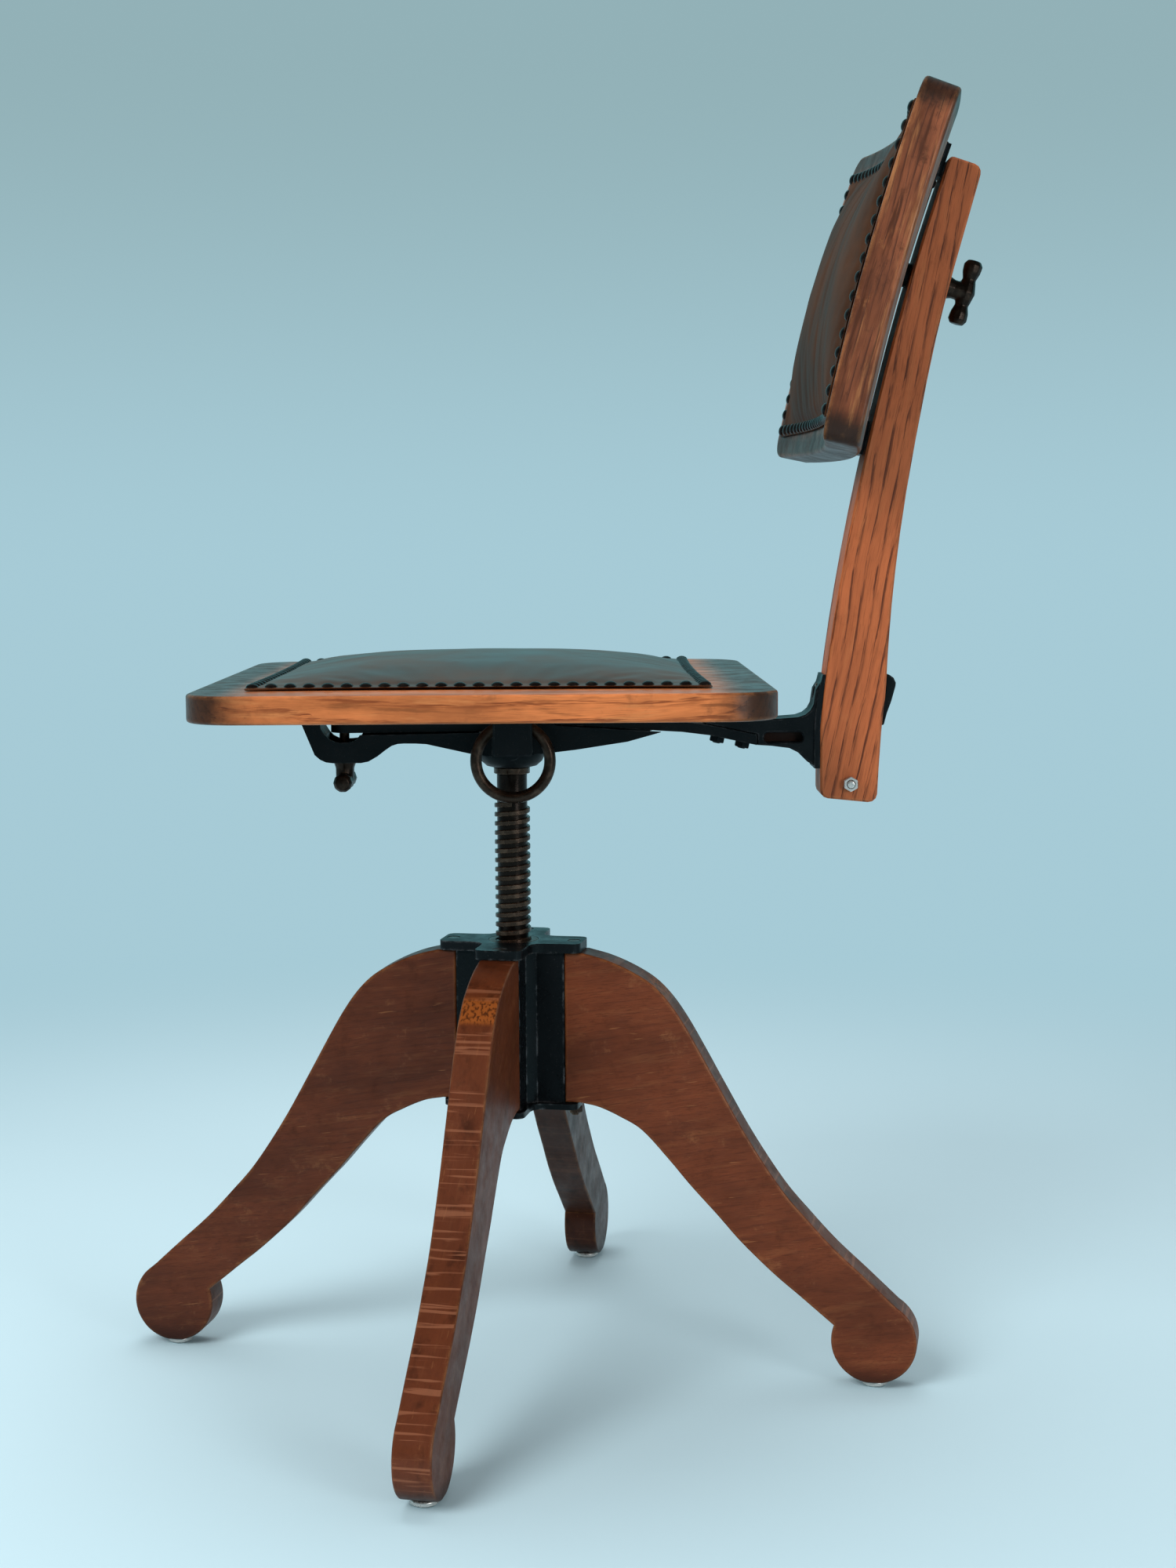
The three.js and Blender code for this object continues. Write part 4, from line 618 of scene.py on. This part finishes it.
LEG_UNDER = [
    (0.769, 0.179), (0.675, 0.283), (0.573, 0.413), (0.496, 0.528), (0.41, 0.652), (0.342, 0.759),
    (0.254, 0.886), (0.182, 0.943), (0.111, 0.984),
]
CURVE_STEPS = 6
FRONT_STEPS, UNDER_STEPS = 30, 24


def leg_outline():
    foot = (FOOT_REACH, FOOT_HEIGHT)
    floor = -math.pi / 2
    flat = math.acos((FOOT_RADIUS - FOOT_FLAT) / FOOT_RADIUS)

    def on_foot(angle):
        return foot[0] + FOOT_RADIUS * math.cos(angle), foot[1] + FOOT_RADIUS * math.sin(angle)

    def on_leg(shares, root_height):
        run, rise = FOOT_REACH - ROOT_REACH, root_height - FOOT_HEIGHT
        return [(ROOT_REACH + r * run, FOOT_HEIGHT + z * rise) for r, z in shares]

    top = [(TOP_START, ROOT_TOP), *on_leg(LEG_TOP, ROOT_TOP), on_foot(FOOT_TOP)]
    under = [on_foot(FOOT_NOTCH), *on_leg(LEG_UNDER, ROOT_BOTTOM), (UNDER_START, ROOT_BOTTOM)]
    points = [Vector((ROOT_REACH, ROOT_BOTTOM)), Vector((ROOT_REACH, ROOT_TOP))]
    points += smooth_run(top, CURVE_STEPS)
    points += round_run(foot, FOOT_RADIUS, FOOT_TOP, floor + flat, FRONT_STEPS)
    points += round_run(foot, FOOT_RADIUS, floor - flat, FOOT_NOTCH, UNDER_STEPS)
    points += smooth_run(under, CURVE_STEPS)
    return [p * MM for p in points]


class CHAIR_OT_legs(bpy.types.Operator):
    """Saw the four oak legs"""

    bl_idname = "chair.legs"
    bl_label = "Legs"

    def execute(self, context):
        outline = leg_outline()
        for k in range(4):
            turn = LEG_TURN + k * math.pi / 2
            shape = sawn(outline, LEG_THICKNESS, sizes().arris)
            mark = shape.faces.layers.float.new("edge_face")
            for face in shape.faces:
                face[mark] = 1 if abs(face.normal.y) < 0.7 else 0
            place = Matrix.Translation(SPINDLE_AXIS) @ Matrix.Rotation(turn, 4, "Z")
            bmesh.ops.transform(shape, matrix=place, verts=shape.verts)
            settle(shape)
            finish = leg_oak(k, turn)
            leg = add_piece(f"leg_{k + 1}_oak", shape, "base", finish, [f"leg_{k + 1}"])
            even_normals(leg)
        return {"FINISHED"}


class CHAIR_OT_hub(bpy.types.Operator):
    """Cast the hub and set its bolts, its nut and the floor glides"""

    bl_idname = "chair.hub"
    bl_label = "Hub"

    def execute(self, context):
        iron = black_iron("hub iron", wear=1, roughness=0.3, scuff=HUB_SCUFF)
        dress("hub", "base", iron)
        old = old_steel("old steel")
        bright = steel("bright steel", tint("bright_steel"), RUBBED_ZINC, wear=0.4, roughness=0.3)
        for k in range(1, 5):
            dress(f"leg_bolt_{k}", "base", old)
            dress(f"leg_bolt_nut_{k}", "base", old)
            dress(f"glide_{k}", "base", bright)
        dress("spindle_nut", "base", old)
        return {"FINISHED"}


THREAD_PITCH, THREAD_TURNS = 7 * MM, 32
THREAD_ROOT, THREAD_CREST = 11.5 * MM, 13.5 * MM
THREAD_SUNK = 0.5 * MM  # how far the thread goes into the core
THREAD_SLOPE = 0.12 * MM  # how much wider it is there, to each side
CREST_CUT = 0.45 * MM
TIP_EASE = (0.6 * MM, 0.8 * MM)
NECK_RADIUS, NECK_TOP, NECK_EASE = 11.45 * MM, 458.7 * MM, 0.4 * MM
NECK_RUN_IN = 0.5 * MM
PIN_RADIUS, PIN_EASE = 10 * MM, 1 * MM
LATHE_STEPS = 48


class CHAIR_OT_spindle(bpy.types.Operator):
    """Cut the square thread of the spindle, with its neck, washer and collar"""

    bl_idname = "chair.spindle"
    bl_label = "Spindle"

    def execute(self, context):
        low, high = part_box("spindle")
        steps = sizes().thread_steps
        half, sunk = THREAD_PITCH / 4, THREAD_ROOT - THREAD_SUNK
        section = [
            (sunk, -half - THREAD_SLOPE), (THREAD_CREST - CREST_CUT, -half),
            (THREAD_CREST, CREST_CUT - half), (THREAD_CREST, half - CREST_CUT),
            (THREAD_CREST - CREST_CUT, half), (sunk, half + THREAD_SLOPE),
        ]
        shape = bmesh.new()
        start = low.z + THREAD_PITCH / 2
        lid = shape.faces.new([shape.verts.new((r, 0, start + z)) for r, z in section])
        bmesh.ops.spin(
            shape, geom=[lid], cent=(0, 0, 0), axis=(0, 0, 1), dvec=(0, 0, THREAD_PITCH / steps),
            angle=FULL_TURN * THREAD_TURNS, steps=steps * THREAD_TURNS, use_merge=False,
        )
        neck_bottom = low.z + (THREAD_TURNS + 1) * THREAD_PITCH
        turn_on_lathe(shape, [
            (0, low.z), (THREAD_ROOT - TIP_EASE[0], low.z),
            (THREAD_ROOT, low.z + TIP_EASE[1]), (THREAD_ROOT, neck_bottom),
            (NECK_RADIUS, neck_bottom + NECK_RUN_IN), (NECK_RADIUS, NECK_TOP - NECK_EASE),
            (NECK_RADIUS - NECK_EASE, NECK_TOP), (PIN_RADIUS, NECK_TOP),
            (PIN_RADIUS, high.z - PIN_EASE), (PIN_RADIUS - PIN_EASE, high.z), (0, high.z),
        ], LATHE_STEPS)
        bmesh.ops.translate(shape, verts=shape.verts, vec=SPINDLE_AXIS)
        settle(shape)
        finish = old_steel("thread steel", wear=0.55, roughness=0.26, crest=(high.x - low.x) / 2)
        add_piece("spindle_screw", shape, "spindle", finish, ["spindle"])
        dress("lock_collar", "spindle", finish)
        dress("thrust_washer", "carriage", finish)
        return {"FINISHED"}


# Pieces under the seat

WIRE_SIDES, RING_STEPS = 20, 72


class CHAIR_OT_seat_iron(bpy.types.Operator):
    """Cast the seat iron and fit its lock plunger, ring, spring and screws"""

    bl_idname = "chair.seat_iron"
    bl_label = "Seat iron"

    def execute(self, context):
        iron = black_iron("seat iron", wear=0.35, roughness=0.42)
        dress("seat_iron", "seat", iron)
        dress("lock_plunger", "lock_plunger", iron)
        old = old_steel("seat steel", share=0.6, rubbed_share=0.7, wear=0.7)
        for k in range(1, 5):
            dress(f"seat_screw_{k}", "seat", old)
        zinc = tint("bright_steel")
        bright = steel("spring steel", zinc, RUBBED_SPRING, wear=0.4, roughness=0.35)
        for place in frame["nodes"]["plunger_spring"].material_slots:
            place.material = bright
        low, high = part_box("pull_ring")
        wire = (high.x - low.x) / 2
        shape = bmesh.new()
        section = bmesh.ops.create_circle(shape, cap_ends=False, segments=WIRE_SIDES, radius=wire)
        bmesh.ops.translate(shape, verts=section["verts"], vec=(0, (high.y - low.y) / 2 - wire, 0))
        whole_turn(shape, [*shape.verts, *shape.edges], (1, 0, 0), RING_STEPS)
        bmesh.ops.translate(shape, verts=shape.verts, vec=middle_of("pull_ring"))
        settle(shape)
        add_piece("pull_ring_wire", shape, "pull_ring", old, ["pull_ring"])
        return {"FINISHED"}


class CHAIR_OT_spring_bar(bpy.types.Operator):
    """Forge the spring bar, with its tension bolt and front wing nut"""

    bl_idname = "chair.spring_bar"
    bl_label = "Spring bar"

    def execute(self, context):
        iron = black_iron("bar iron", wear=0.5, roughness=0.38)
        old = old_steel("bolt steel", share=0.35, rubbed_share=0.35)
        dress("spring_bar", "back_frame", iron)
        dress("tension_bolt", "tension_bolt", old)
        wing_nut("front_wing_nut", old)
        return {"FINISHED"}


RECESS_REAR, RECESS_FRONT = 13 * MM, 41.4 * MM  # ahead of the foot of the post
RECESS_BOTTOM, RECESS_TOP = 0.283, 0.382  # shares of the shoe's height
WEB_SHARE = 0.4  # thickness of the web, as a share of the shoe's
WEB_CORNER = 1.5 * MM


class CHAIR_OT_shoe(bpy.types.Operator):
    """Cast the back shoe and the clamp plate, with their bolts"""

    bl_idname = "chair.shoe"
    bl_label = "Back shoe"

    def execute(self, context):
        iron = black_iron("shoe iron", wear=0.4, roughness=0.4)
        old = old_steel("clamp steel", wear=0.7)
        dress("back_shoe", "back_frame", iron)
        dress("clamp_plate", "back_frame", iron, segments=3)
        dress("clamp_bolt", "back_frame", old)
        self.fill_recess(steel("recess rust", RUST, PALE_RUST, roughness=0.6))
        for k in (1, 2):
            dress(f"shoe_bolt_{k}", "back_frame", iron)
            dress(f"shoe_bolt_nut_{k}", "back_frame", iron)
        return {"FINISHED"}

    def fill_recess(self, finish):
        """The web that closes the window of the casting half way through."""
        low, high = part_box("back_shoe")
        height = high.z - low.z
        middle, half = (low.x + high.x) / 2, (high.x - low.x) * WEB_SHARE / 2
        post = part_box("back_post")[0].y
        shape = block(
            Vector((middle - half, post - RECESS_FRONT, low.z + RECESS_BOTTOM * height)),
            Vector((middle + half, post - RECESS_REAR, low.z + RECESS_TOP * height)),
        )
        round_edges(shape, 0, True, WEB_CORNER, 3)
        add_piece("back_shoe_web", shape, "back_frame", finish)


# Seat

SEAT_CORNER, SEAT_RIM = 38 * MM, 2.3 * MM
SEAT_GRAIN = (0.1, 0.02, -0.44)


class CHAIR_OT_seat_board(bpy.types.Operator):
    """Saw the oak seat board with its rounded corners"""

    bl_idname = "chair.seat_board"
    bl_label = "Seat board"

    def execute(self, context):
        low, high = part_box("seat_board")
        shape = block(low, high)
        round_edges(shape, 2, True, SEAT_CORNER, 14)
        round_edges(shape, 2, False, SEAT_RIM, 4)
        shade(shape, 40)
        middle = SEAT_GRAIN[0] - (low.y + high.y) / 2
        finish = oak(
            "seat oak", tint("seat_oak"), tint("seat_oak_deep"), (0, 0, math.pi / 2),
            SEAT_GRAIN, pitch=4 * MM, lines=1, mottle=1, wear=0.9, streaks=0.6,
            # ends: painted shade towards both ends of the board
            ends=(middle, (high.y - low.y) / 2, 52 * MM, 0.93), gloss=0.34,
        ).material
        board = add_piece("seat_board_oak", shape, "seat", finish, ["seat_board"])
        even_normals(board)
        return {"FINISHED"}


PAD_HEM = 2.2 * MM  # height of the leather at its nailed edge
PAD_DRAW = 2.5 * MM  # how far a side is drawn in between its corners
PAD_SLACK = 0.8  # height of the loose leather, as a share of the stuffed pad's
NAIL_SINK = 0.2 * MM
NAIL_SIDES, NAIL_RINGS = 10, 8
MOST_SWELL = 14 * MM
HELD_RADIUS = 3.4 * MM
CLOTH_FRAMES = 20
CLOTH = {
    "quality": 6, "mass": 0.25, "tension_stiffness": 12, "compression_stiffness": 12,
    "shear_stiffness": 6, "bending_stiffness": 0.6, "vertex_group_mass": "held",
    "pin_stiffness": 1, "use_pressure": True, "uniform_pressure_force": 4, "shrink_min": -0.012,
}


def nail_places(half_width, half_length, pitch):
    """Places round a rectangle, evenly spaced along each side, corners included."""
    turns = ((-1, -1), (1, -1), (1, 1), (-1, 1))
    corners = [Vector((u * half_width, v * half_length)) for u, v in turns]
    places = []
    for a, b in zip(corners, corners[1:] + corners[:1]):
        count = round((b - a).length / pitch)
        places += [a.lerp(b, k / count) for k in range(count)]
    return places


def drawn_in(x, y, half_width, half_length):
    """A place on a pad whose sides are drawn in between its corners."""
    u, v = x / half_width, y / half_length
    return x - PAD_DRAW * u * (1 - v * v), y - PAD_DRAW * v * (1 - u * u)


def stuffed_pad(half_width, half_length, crown, full, nails):
    """A pad on Z = 0: leather nailed round its edge and swollen by its stuffing."""
    pitch = sizes().cloth_pitch
    shape = bmesh.new()
    columns, rows = round(2 * half_width / pitch), round(2 * half_length / pitch)
    bmesh.ops.create_grid(shape, x_segments=columns, y_segments=rows, size=1)
    for vert in shape.verts:
        u, v = vert.co.x, vert.co.y
        rise = (1 - abs(u) ** full) * (1 - abs(v) ** full)
        vert.co = (u * half_width, v * half_length, PAD_HEM + PAD_SLACK * crown * rise)
    rim = [e for e in shape.edges if e.is_boundary]
    wall = bmesh.ops.extrude_edge_only(shape, edges=rim)
    for vert in (v for v in wall["geom"] if isinstance(v, bmesh.types.BMVert)):
        vert.co.z = 0
    under = bmesh.ops.holes_fill(shape, edges=[e for e in shape.edges if e.is_boundary])
    bmesh.ops.triangulate(shape, faces=under["faces"])
    bmesh.ops.recalc_face_normals(shape, faces=shape.faces)
    mesh = made_mesh("pad form", shape)
    swell(mesh, half_width, half_length, nails)
    shape = bmesh.new()
    shape.from_mesh(mesh)
    top = max(v.co.z for v in shape.verts) - PAD_HEM
    for vert in shape.verts:
        if vert.co.z > PAD_HEM:
            vert.co.z = PAD_HEM + (vert.co.z - PAD_HEM) * crown / top
    press, pressed = sizes().nail_head / 2, PAD_HEM + NAIL_SINK
    for vert in shape.verts:
        near = min((vert.co.xy - nail).length for nail in nails)
        if near < 2 * press and vert.co.z > pressed:
            share = max(0, near / press - 0.9) / 1.1
            vert.co.z = pressed + (vert.co.z - pressed) * share ** 0.7
    return shape


def swell(mesh, half_width, half_length, nails):
    """The leather pressed out by its stuffing and held along its edge and at the nails."""
    form = add_object("pad form", mesh)
    held = form.vertex_groups.new(name="held")
    start = [v.co.copy() for v in mesh.vertices]
    for i, place in enumerate(start):
        side = min(half_width - abs(place.x), half_length - abs(place.y))
        near = min((place.xy - nail).length for nail in nails)
        if side < 0.9 * sizes().nail_inset or near < HELD_RADIUS or place.z < MM:
            held.add([i], 1, "REPLACE")
    cloth = form.modifiers.new("cloth", "CLOTH")
    for name, value in CLOTH.items():
        setattr(cloth.settings, name, value)
    cloth.settings.effector_weights.gravity = 0
    cloth.point_cache.frame_start = 1
    cloth.point_cache.frame_end = CLOTH_FRAMES
    scene = bpy.context.scene
    for step in range(1, CLOTH_FRAMES + 1):
        scene.frame_set(step)
    seen = form.evaluated_get(bpy.context.evaluated_depsgraph_get()).to_mesh()
    ends = [v.co.copy() for v in seen.vertices]
    for vert, here, there in zip(mesh.vertices, start, ends):
        step = there - here
        vert.co = here + step * min(1, MOST_SWELL / max(step.length, TOUCH))
    form.to_mesh_clear()
    bpy.data.objects.remove(form)
    scene.frame_set(1)


def dome_nails(name, frames, body):
    """Dome-headed nails, one at each frame, their heads along Z."""
    radius, height = sizes().nail_head / 2, sizes().nail_dome
    shape = bmesh.new()
    for place in frames:
        made = bmesh.ops.create_uvsphere(
            shape, u_segments=NAIL_SIDES, v_segments=NAIL_RINGS, radius=1
        )
        low = [v for v in made["verts"] if v.co.z < -0.05]
        flat = [v for v in made["verts"] if abs(v.co.z) <= 0.05]
        bmesh.ops.delete(shape, geom=low, context="VERTS")
        verts = [v for v in made["verts"] if v.is_valid]
        bmesh.ops.scale(shape, vec=(radius, radius, height), verts=verts)
        bmesh.ops.transform(shape, matrix=place, verts=verts)
        bmesh.ops.contextual_create(shape, geom=flat)
    shade(shape, 60)
    finish = bpy.data.materials.get("nail bronze")
    finish = finish or steel("nail bronze", NAIL, RUBBED_NAIL, wear=0.6, roughness=0.32)
    add_piece(name, shape, body, finish)


def nailed_pad(name, body, half_width, half_length, crown, full, hide, laid):
    """Stuffed leather and its nails. Laid takes a place on the flat pad to the chair."""
    inset = sizes().nail_inset
    nails = nail_places(half_width - inset, half_length - inset, sizes().nail_pitch)
    shape = stuffed_pad(half_width, half_length, crown, full, nails)

    def on_pad(place, height):
        return laid(*drawn_in(place.x, place.y, half_width, half_length), height)

    for vert in shape.verts:
        vert.co = on_pad(vert.co, vert.co.z)
    settle(shape, 60)
    pad = add_piece(f"{name}_leather", shape, body, hide, [name])
    finer = pad.modifiers.new("finer", "SUBSURF")
    finer.levels = finer.render_levels = 1
    frames = []
    for nail in nails:
        foot = on_pad(nail, PAD_HEM - NAIL_SINK)
        tilt = (on_pad(nail, PAD_HEM + 1) - foot).to_track_quat("Z", "Y")
        frames.append(Matrix.Translation(foot) @ tilt.to_matrix().to_4x4())
    dome_nails(f"{name}_nails", frames, body)


class CHAIR_OT_seat_pad(bpy.types.Operator):
    """Stuff and nail the leather of the seat"""

    bl_idname = "chair.seat_pad"
    bl_label = "Seat pad"

    def execute(self, context):
        low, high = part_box("seat_pad")
        foot = Vector((0, (low.y + high.y) / 2, low.z))
        nailed_pad(
            "seat_pad", "seat", (high.x - low.x) / 2, (high.y - low.y) / 2,
            crown=high.z - low.z - PAD_HEM, full=4, hide=leather("seat leather", sheen=0.28),
            laid=lambda x, y, height: foot + Vector((x, y, height)),
        )
        return {"FINISHED"}


# Back

BACK_LEAN = math.radians(15.85)
MIDDLE_RADIUS = 1.715  # of the line along which heights on the back are measured
BOARD_REAR = 1.7235
BOARD_THICKNESS = 26 * MM
BOARD_WIDE, BOARD_LONG = 184 * MM, 121.5 * MM  # from its middle to its sides
BOARD_HOLLOW = 16 * MM  # how far the ends of the board stand forward of its middle
BOARD_CORNER, BOARD_RIM = 15 * MM, 2.6 * MM
PAD_WIDE, PAD_LONG = 170 * MM, 106.5 * MM
PAD_GAP = 0.3 * MM
PAD_CROWN = 20 * MM


def on_arc(x, out, rise):
    """A place on the back: x across, out from the board's rear, and rise up the arc."""
    radius = BOARD_REAR + BOARD_HOLLOW * (x / BOARD_WIDE) ** 2 + out
    angle = BACK_LEAN + rise / MIDDLE_RADIUS
    return Vector((x, BACK_ARC.y - radius * math.cos(angle), BACK_ARC.z + radius * math.sin(angle)))


def slice_across(shape, axis, half, count):
    """Cuts a board into even slices along an axis, so that it can be bent."""
    normal = Vector((axis == 0, axis == 1, axis == 2))
    for k in range(1, count):
        bmesh.ops.bisect_plane(
            shape, geom=[*shape.verts, *shape.edges, *shape.faces], dist=TOUCH,
            plane_co=normal * (2 * half * k / count - half), plane_no=normal,
        )


class CHAIR_OT_post(bpy.types.Operator):
    """Saw the curved oak post and fit its cross bolt"""

    bl_idname = "chair.post"
    bl_label = "Back post"

    def execute(self, context):
        finish = oak(
            "post oak", tint("post_oak"), tint("post_oak_deep"),
            (math.radians(11), math.radians(90), 0), (0, -0.36, 0.06), pitch=8 * MM, lines=0.95,
            mottle=0.5, wear=0.7, streaks=0.25, gloss=0.5,
        ).material
        dress("back_post", "back_frame", finish, angle=25, segments=3)
        zinc = tint("bright_steel")
        bright = steel("cross bolt steel", zinc, RUBBED_ZINC, wear=0.4, roughness=0.28)
        dress("cross_bolt", "back_frame", bright)
        dress("cross_bolt_nut", "back_frame", bright)
        return {"FINISHED"}


class CHAIR_OT_back_board(bpy.types.Operator):
    """Saw the curved oak back board"""

    bl_idname = "chair.back_board"
    bl_label = "Back board"

    def execute(self, context):
        corner = Vector((BOARD_WIDE, BOARD_LONG, 0))
        shape = block(-corner, corner + Vector((0, 0, BOARD_THICKNESS)))
        round_edges(shape, 2, True, BOARD_CORNER, 8)
        round_edges(shape, 2, False, BOARD_RIM, 3)
        slice_across(shape, 0, BOARD_WIDE, 24)
        slice_across(shape, 1, BOARD_LONG, 14)
        for vert in shape.verts:
            x, rise, out = vert.co
            vert.co = on_arc(x, out, rise)
        settle(shape)
        centre = middle_of("back_board")
        middle = centre.y * math.sin(BACK_LEAN) + centre.z * math.cos(BACK_LEAN)
        finish = oak(
            "back oak", tint("back_oak"), tint("back_oak_deep"), (BACK_LEAN, math.pi / 2, 0),
            # wear is high here: the pale arrises are real wear and also a painted highlight along
            # the board's front edge
            (0, 0.2, 0.1), pitch=4 * MM, lines=0.9, mottle=1.6, wear=1.6, streaks=0.75,
            # ends: painted shade towards both ends of the board
            ends=(middle, BOARD_LONG, 22 * MM, 0.85),
        ).material
        board = add_piece("back_board_oak", shape, "backrest", finish, ["back_board"])
        even_normals(board)
        return {"FINISHED"}


class CHAIR_OT_back_pad(bpy.types.Operator):
    """Stuff and nail the leather of the back"""

    bl_idname = "chair.back_pad"
    bl_label = "Back pad"

    def execute(self, context):
        face = BOARD_THICKNESS + PAD_GAP
        nailed_pad(
            "back_pad", "backrest", PAD_WIDE, PAD_LONG, crown=PAD_CROWN, full=3,
            hide=leather("back leather", sheen=0.06, roughness=0.52),
            laid=lambda x, rise, height: on_arc(x, face + height, rise),
        )
        return {"FINISHED"}


class CHAIR_OT_height_track(bpy.types.Operator):
    """Fit the slotted height track, its bolt and the rear wing nut"""

    bl_idname = "chair.height_track"
    bl_label = "Height track"

    def execute(self, context):
        iron = black_iron("track iron", wear=0.5, roughness=0.42)
        old = old_steel("track steel", share=0.35, rubbed_share=0.35)
        dress("height_track", "backrest", iron)
        dress("track_spacer", "back_frame", iron)
        dress("track_bolt", "back_frame", old)
        for k in range(1, 5):
            dress(f"track_screw_{k}", "backrest", old)
        wing_nut("rear_wing_nut", old)
        return {"FINISHED"}


# Stage

CAMERA_YAW, CAMERA_PITCH, CAMERA_ROLL = 0.00731197, 0.10454338, -0.00646089
CAMERA_PLACE = Vector((1.78118, 0.04445, 0.63708))  # from the foot of the spindle's axis
FOCAL_SHARE = 3019.18 / 2000  # focal length as a share of the picture's width
FILM = 36  # millimetres
FLOOR_RADIUS = 14
FLOOR_FADE = (0.6, 1.9)  # from the paper's own colour to the backdrop's


def area_light(name, place, aim, size, power):
    light = bpy.data.lights.new(name, "AREA")
    light.shape = "DISK"
    light.size = size
    light.energy = power
    lamp = add_object(name, light)
    lamp.location = place
    lamp.rotation_euler = (Vector(aim) - Vector(place)).to_track_quat("-Z", "Y").to_euler()
    return lamp


def photo_camera():
    """The camera at the photograph's viewing angle."""
    level = math.cos(CAMERA_PITCH)
    forward = Vector((
        -level * math.cos(CAMERA_YAW), level * math.sin(CAMERA_YAW), -math.sin(CAMERA_PITCH),
    ))
    side = forward.cross(Vector((0, 0, 1))).normalized()
    up = side.cross(forward)
    right = side * math.cos(CAMERA_ROLL) + up * math.sin(CAMERA_ROLL)
    above = up * math.cos(CAMERA_ROLL) - side * math.sin(CAMERA_ROLL)
    turn = Matrix((right, above, -forward)).transposed().to_4x4()
    data = bpy.data.cameras.new("photo camera")
    data.sensor_width = FILM
    data.lens = FOCAL_SHARE * FILM
    data.clip_end = 100
    camera = add_object("photo camera", data)
    camera.matrix_world = Matrix.Translation(CAMERA_PLACE + SPINDLE_AXIS) @ turn
    bpy.context.scene.camera = camera


def paper_floor():
    """The sheet under the chair, which fades into the backdrop."""
    shape = bmesh.new()
    bmesh.ops.create_circle(shape, cap_ends=True, segments=96, radius=FLOOR_RADIUS)
    paper = Finish("floor paper")
    paper.set("Base Color", tint("floor"))
    paper.set("Roughness", 0.9)
    paper.set("Specular IOR Level", 0.1)
    glow = paper.add("Emission", {"Color": tint("backdrop"), "Strength": 1})
    far = paper.span(paper.reach(paper.add("TexCoord").outputs["Object"]), *FLOOR_FADE)
    blend = paper.add("MixShader", {0: far, 1: paper.shader.outputs[0], 2: glow.outputs[0]})
    paper.put(paper.tree.nodes["Material Output"].inputs["Surface"], blend.outputs[0])
    add_object("floor", made_mesh("floor", shape, paper.material))


def studio_world():
    """Soft light all round. The camera sees the backdrop, and what shines mirrors a pale room."""
    world = bpy.data.worlds.new("studio")
    world.use_nodes = True
    bpy.context.scene.world = world
    world.node_tree.nodes.clear()
    room = Nodes(world.node_tree)
    ray = room.add("LightPath").outputs
    mirrored = ray["Is Glossy Ray"]
    seen = room.calc("MAXIMUM", ray["Is Camera Ray"], mirrored)
    seen = room.calc("MAXIMUM", seen, ray["Is Transmission Ray"])
    look = room.add("SeparateXYZ", {0: room.add("TexCoord").outputs["Generated"]}).outputs
    # Painted shade: the backdrop darkens from its own colour towards its top.
    sheet = room.mix(room.span(look["Z"], -0.02, 0.2), tint("backdrop"), tint("shaded_backdrop_top"))
    hall = room.span(look["X"], -0.8, 0.35, 1, 0.06)
    strength = room.add("Mix", {0: mirrored, 2: 1, 3: hall}).outputs[0]
    view = room.mix(mirrored, sheet, tint("mirrored"))
    light = room.add("Background", {"Color": (0.95, 0.98, 1), "Strength": 0.42})
    shown = room.add("Background", {"Color": view, "Strength": strength})
    blend = room.add("MixShader", {0: seen, 1: light.outputs[0], 2: shown.outputs[0]})
    room.add("OutputWorld", {0: blend.outputs[0]})


class CHAIR_OT_stage(bpy.types.Operator):
    """Set the pale floor, the soft lights and the camera"""

    bl_idname = "chair.stage"
    bl_label = "Stage"

    def execute(self, context):
        paper_floor()
        studio_world()
        key = area_light("key light", (2.2, -1.7, 2.2), (0, 0, 0.5), size=1.8, power=78)
        key.visible_glossy = False
        area_light("fill light", (2.5, 2.0, 0.95), (0, 0, 0.5), size=1.1, power=30)
        top = area_light("top light", (-0.6, -0.2, 2.8), (0, 0, 0.4), size=2.2, power=34)
        top.visible_glossy = False
        context.scene.view_settings.view_transform = "Standard"
        photo_camera()
        return {"FINISHED"}


MAKERS = (
    CHAIR_OT_legs, CHAIR_OT_hub, CHAIR_OT_spindle, CHAIR_OT_seat_iron, CHAIR_OT_spring_bar,
    CHAIR_OT_shoe, CHAIR_OT_seat_board, CHAIR_OT_seat_pad, CHAIR_OT_post, CHAIR_OT_back_board,
    CHAIR_OT_back_pad, CHAIR_OT_height_track, CHAIR_OT_stage,
)


class VIEW3D_PT_chair(bpy.types.Panel):
    """Lists the pieces of the chair"""

    bl_label = "Bankers Swivel Chair"
    bl_idname = "VIEW3D_PT_chair"
    bl_space_type = "VIEW_3D"
    bl_region_type = "UI"
    bl_category = "Chair"

    def draw(self, context):
        for group in (context.scene.chair_sizes, context.scene.chair_colours):
            for name in group.__annotations__:
                self.layout.prop(group, name)
        for maker in MAKERS:
            self.layout.operator(maker.bl_idname)


CLASSES = (ChairSizes, ChairColours, *MAKERS, VIEW3D_PT_chair)


def register():
    for cls in CLASSES:
        bpy.utils.register_class(cls)
    bpy.types.Scene.chair_sizes = PointerProperty(type=ChairSizes)
    bpy.types.Scene.chair_colours = PointerProperty(type=ChairColours)


def unregister():
    del bpy.types.Scene.chair_colours
    del bpy.types.Scene.chair_sizes
    for cls in reversed(CLASSES):
        bpy.utils.unregister_class(cls)


def main():
    register()
    for maker in MAKERS:
        group, name = maker.bl_idname.split(".")
        getattr(getattr(bpy.ops, group), name)()


if __name__ == "__main__":
    main()
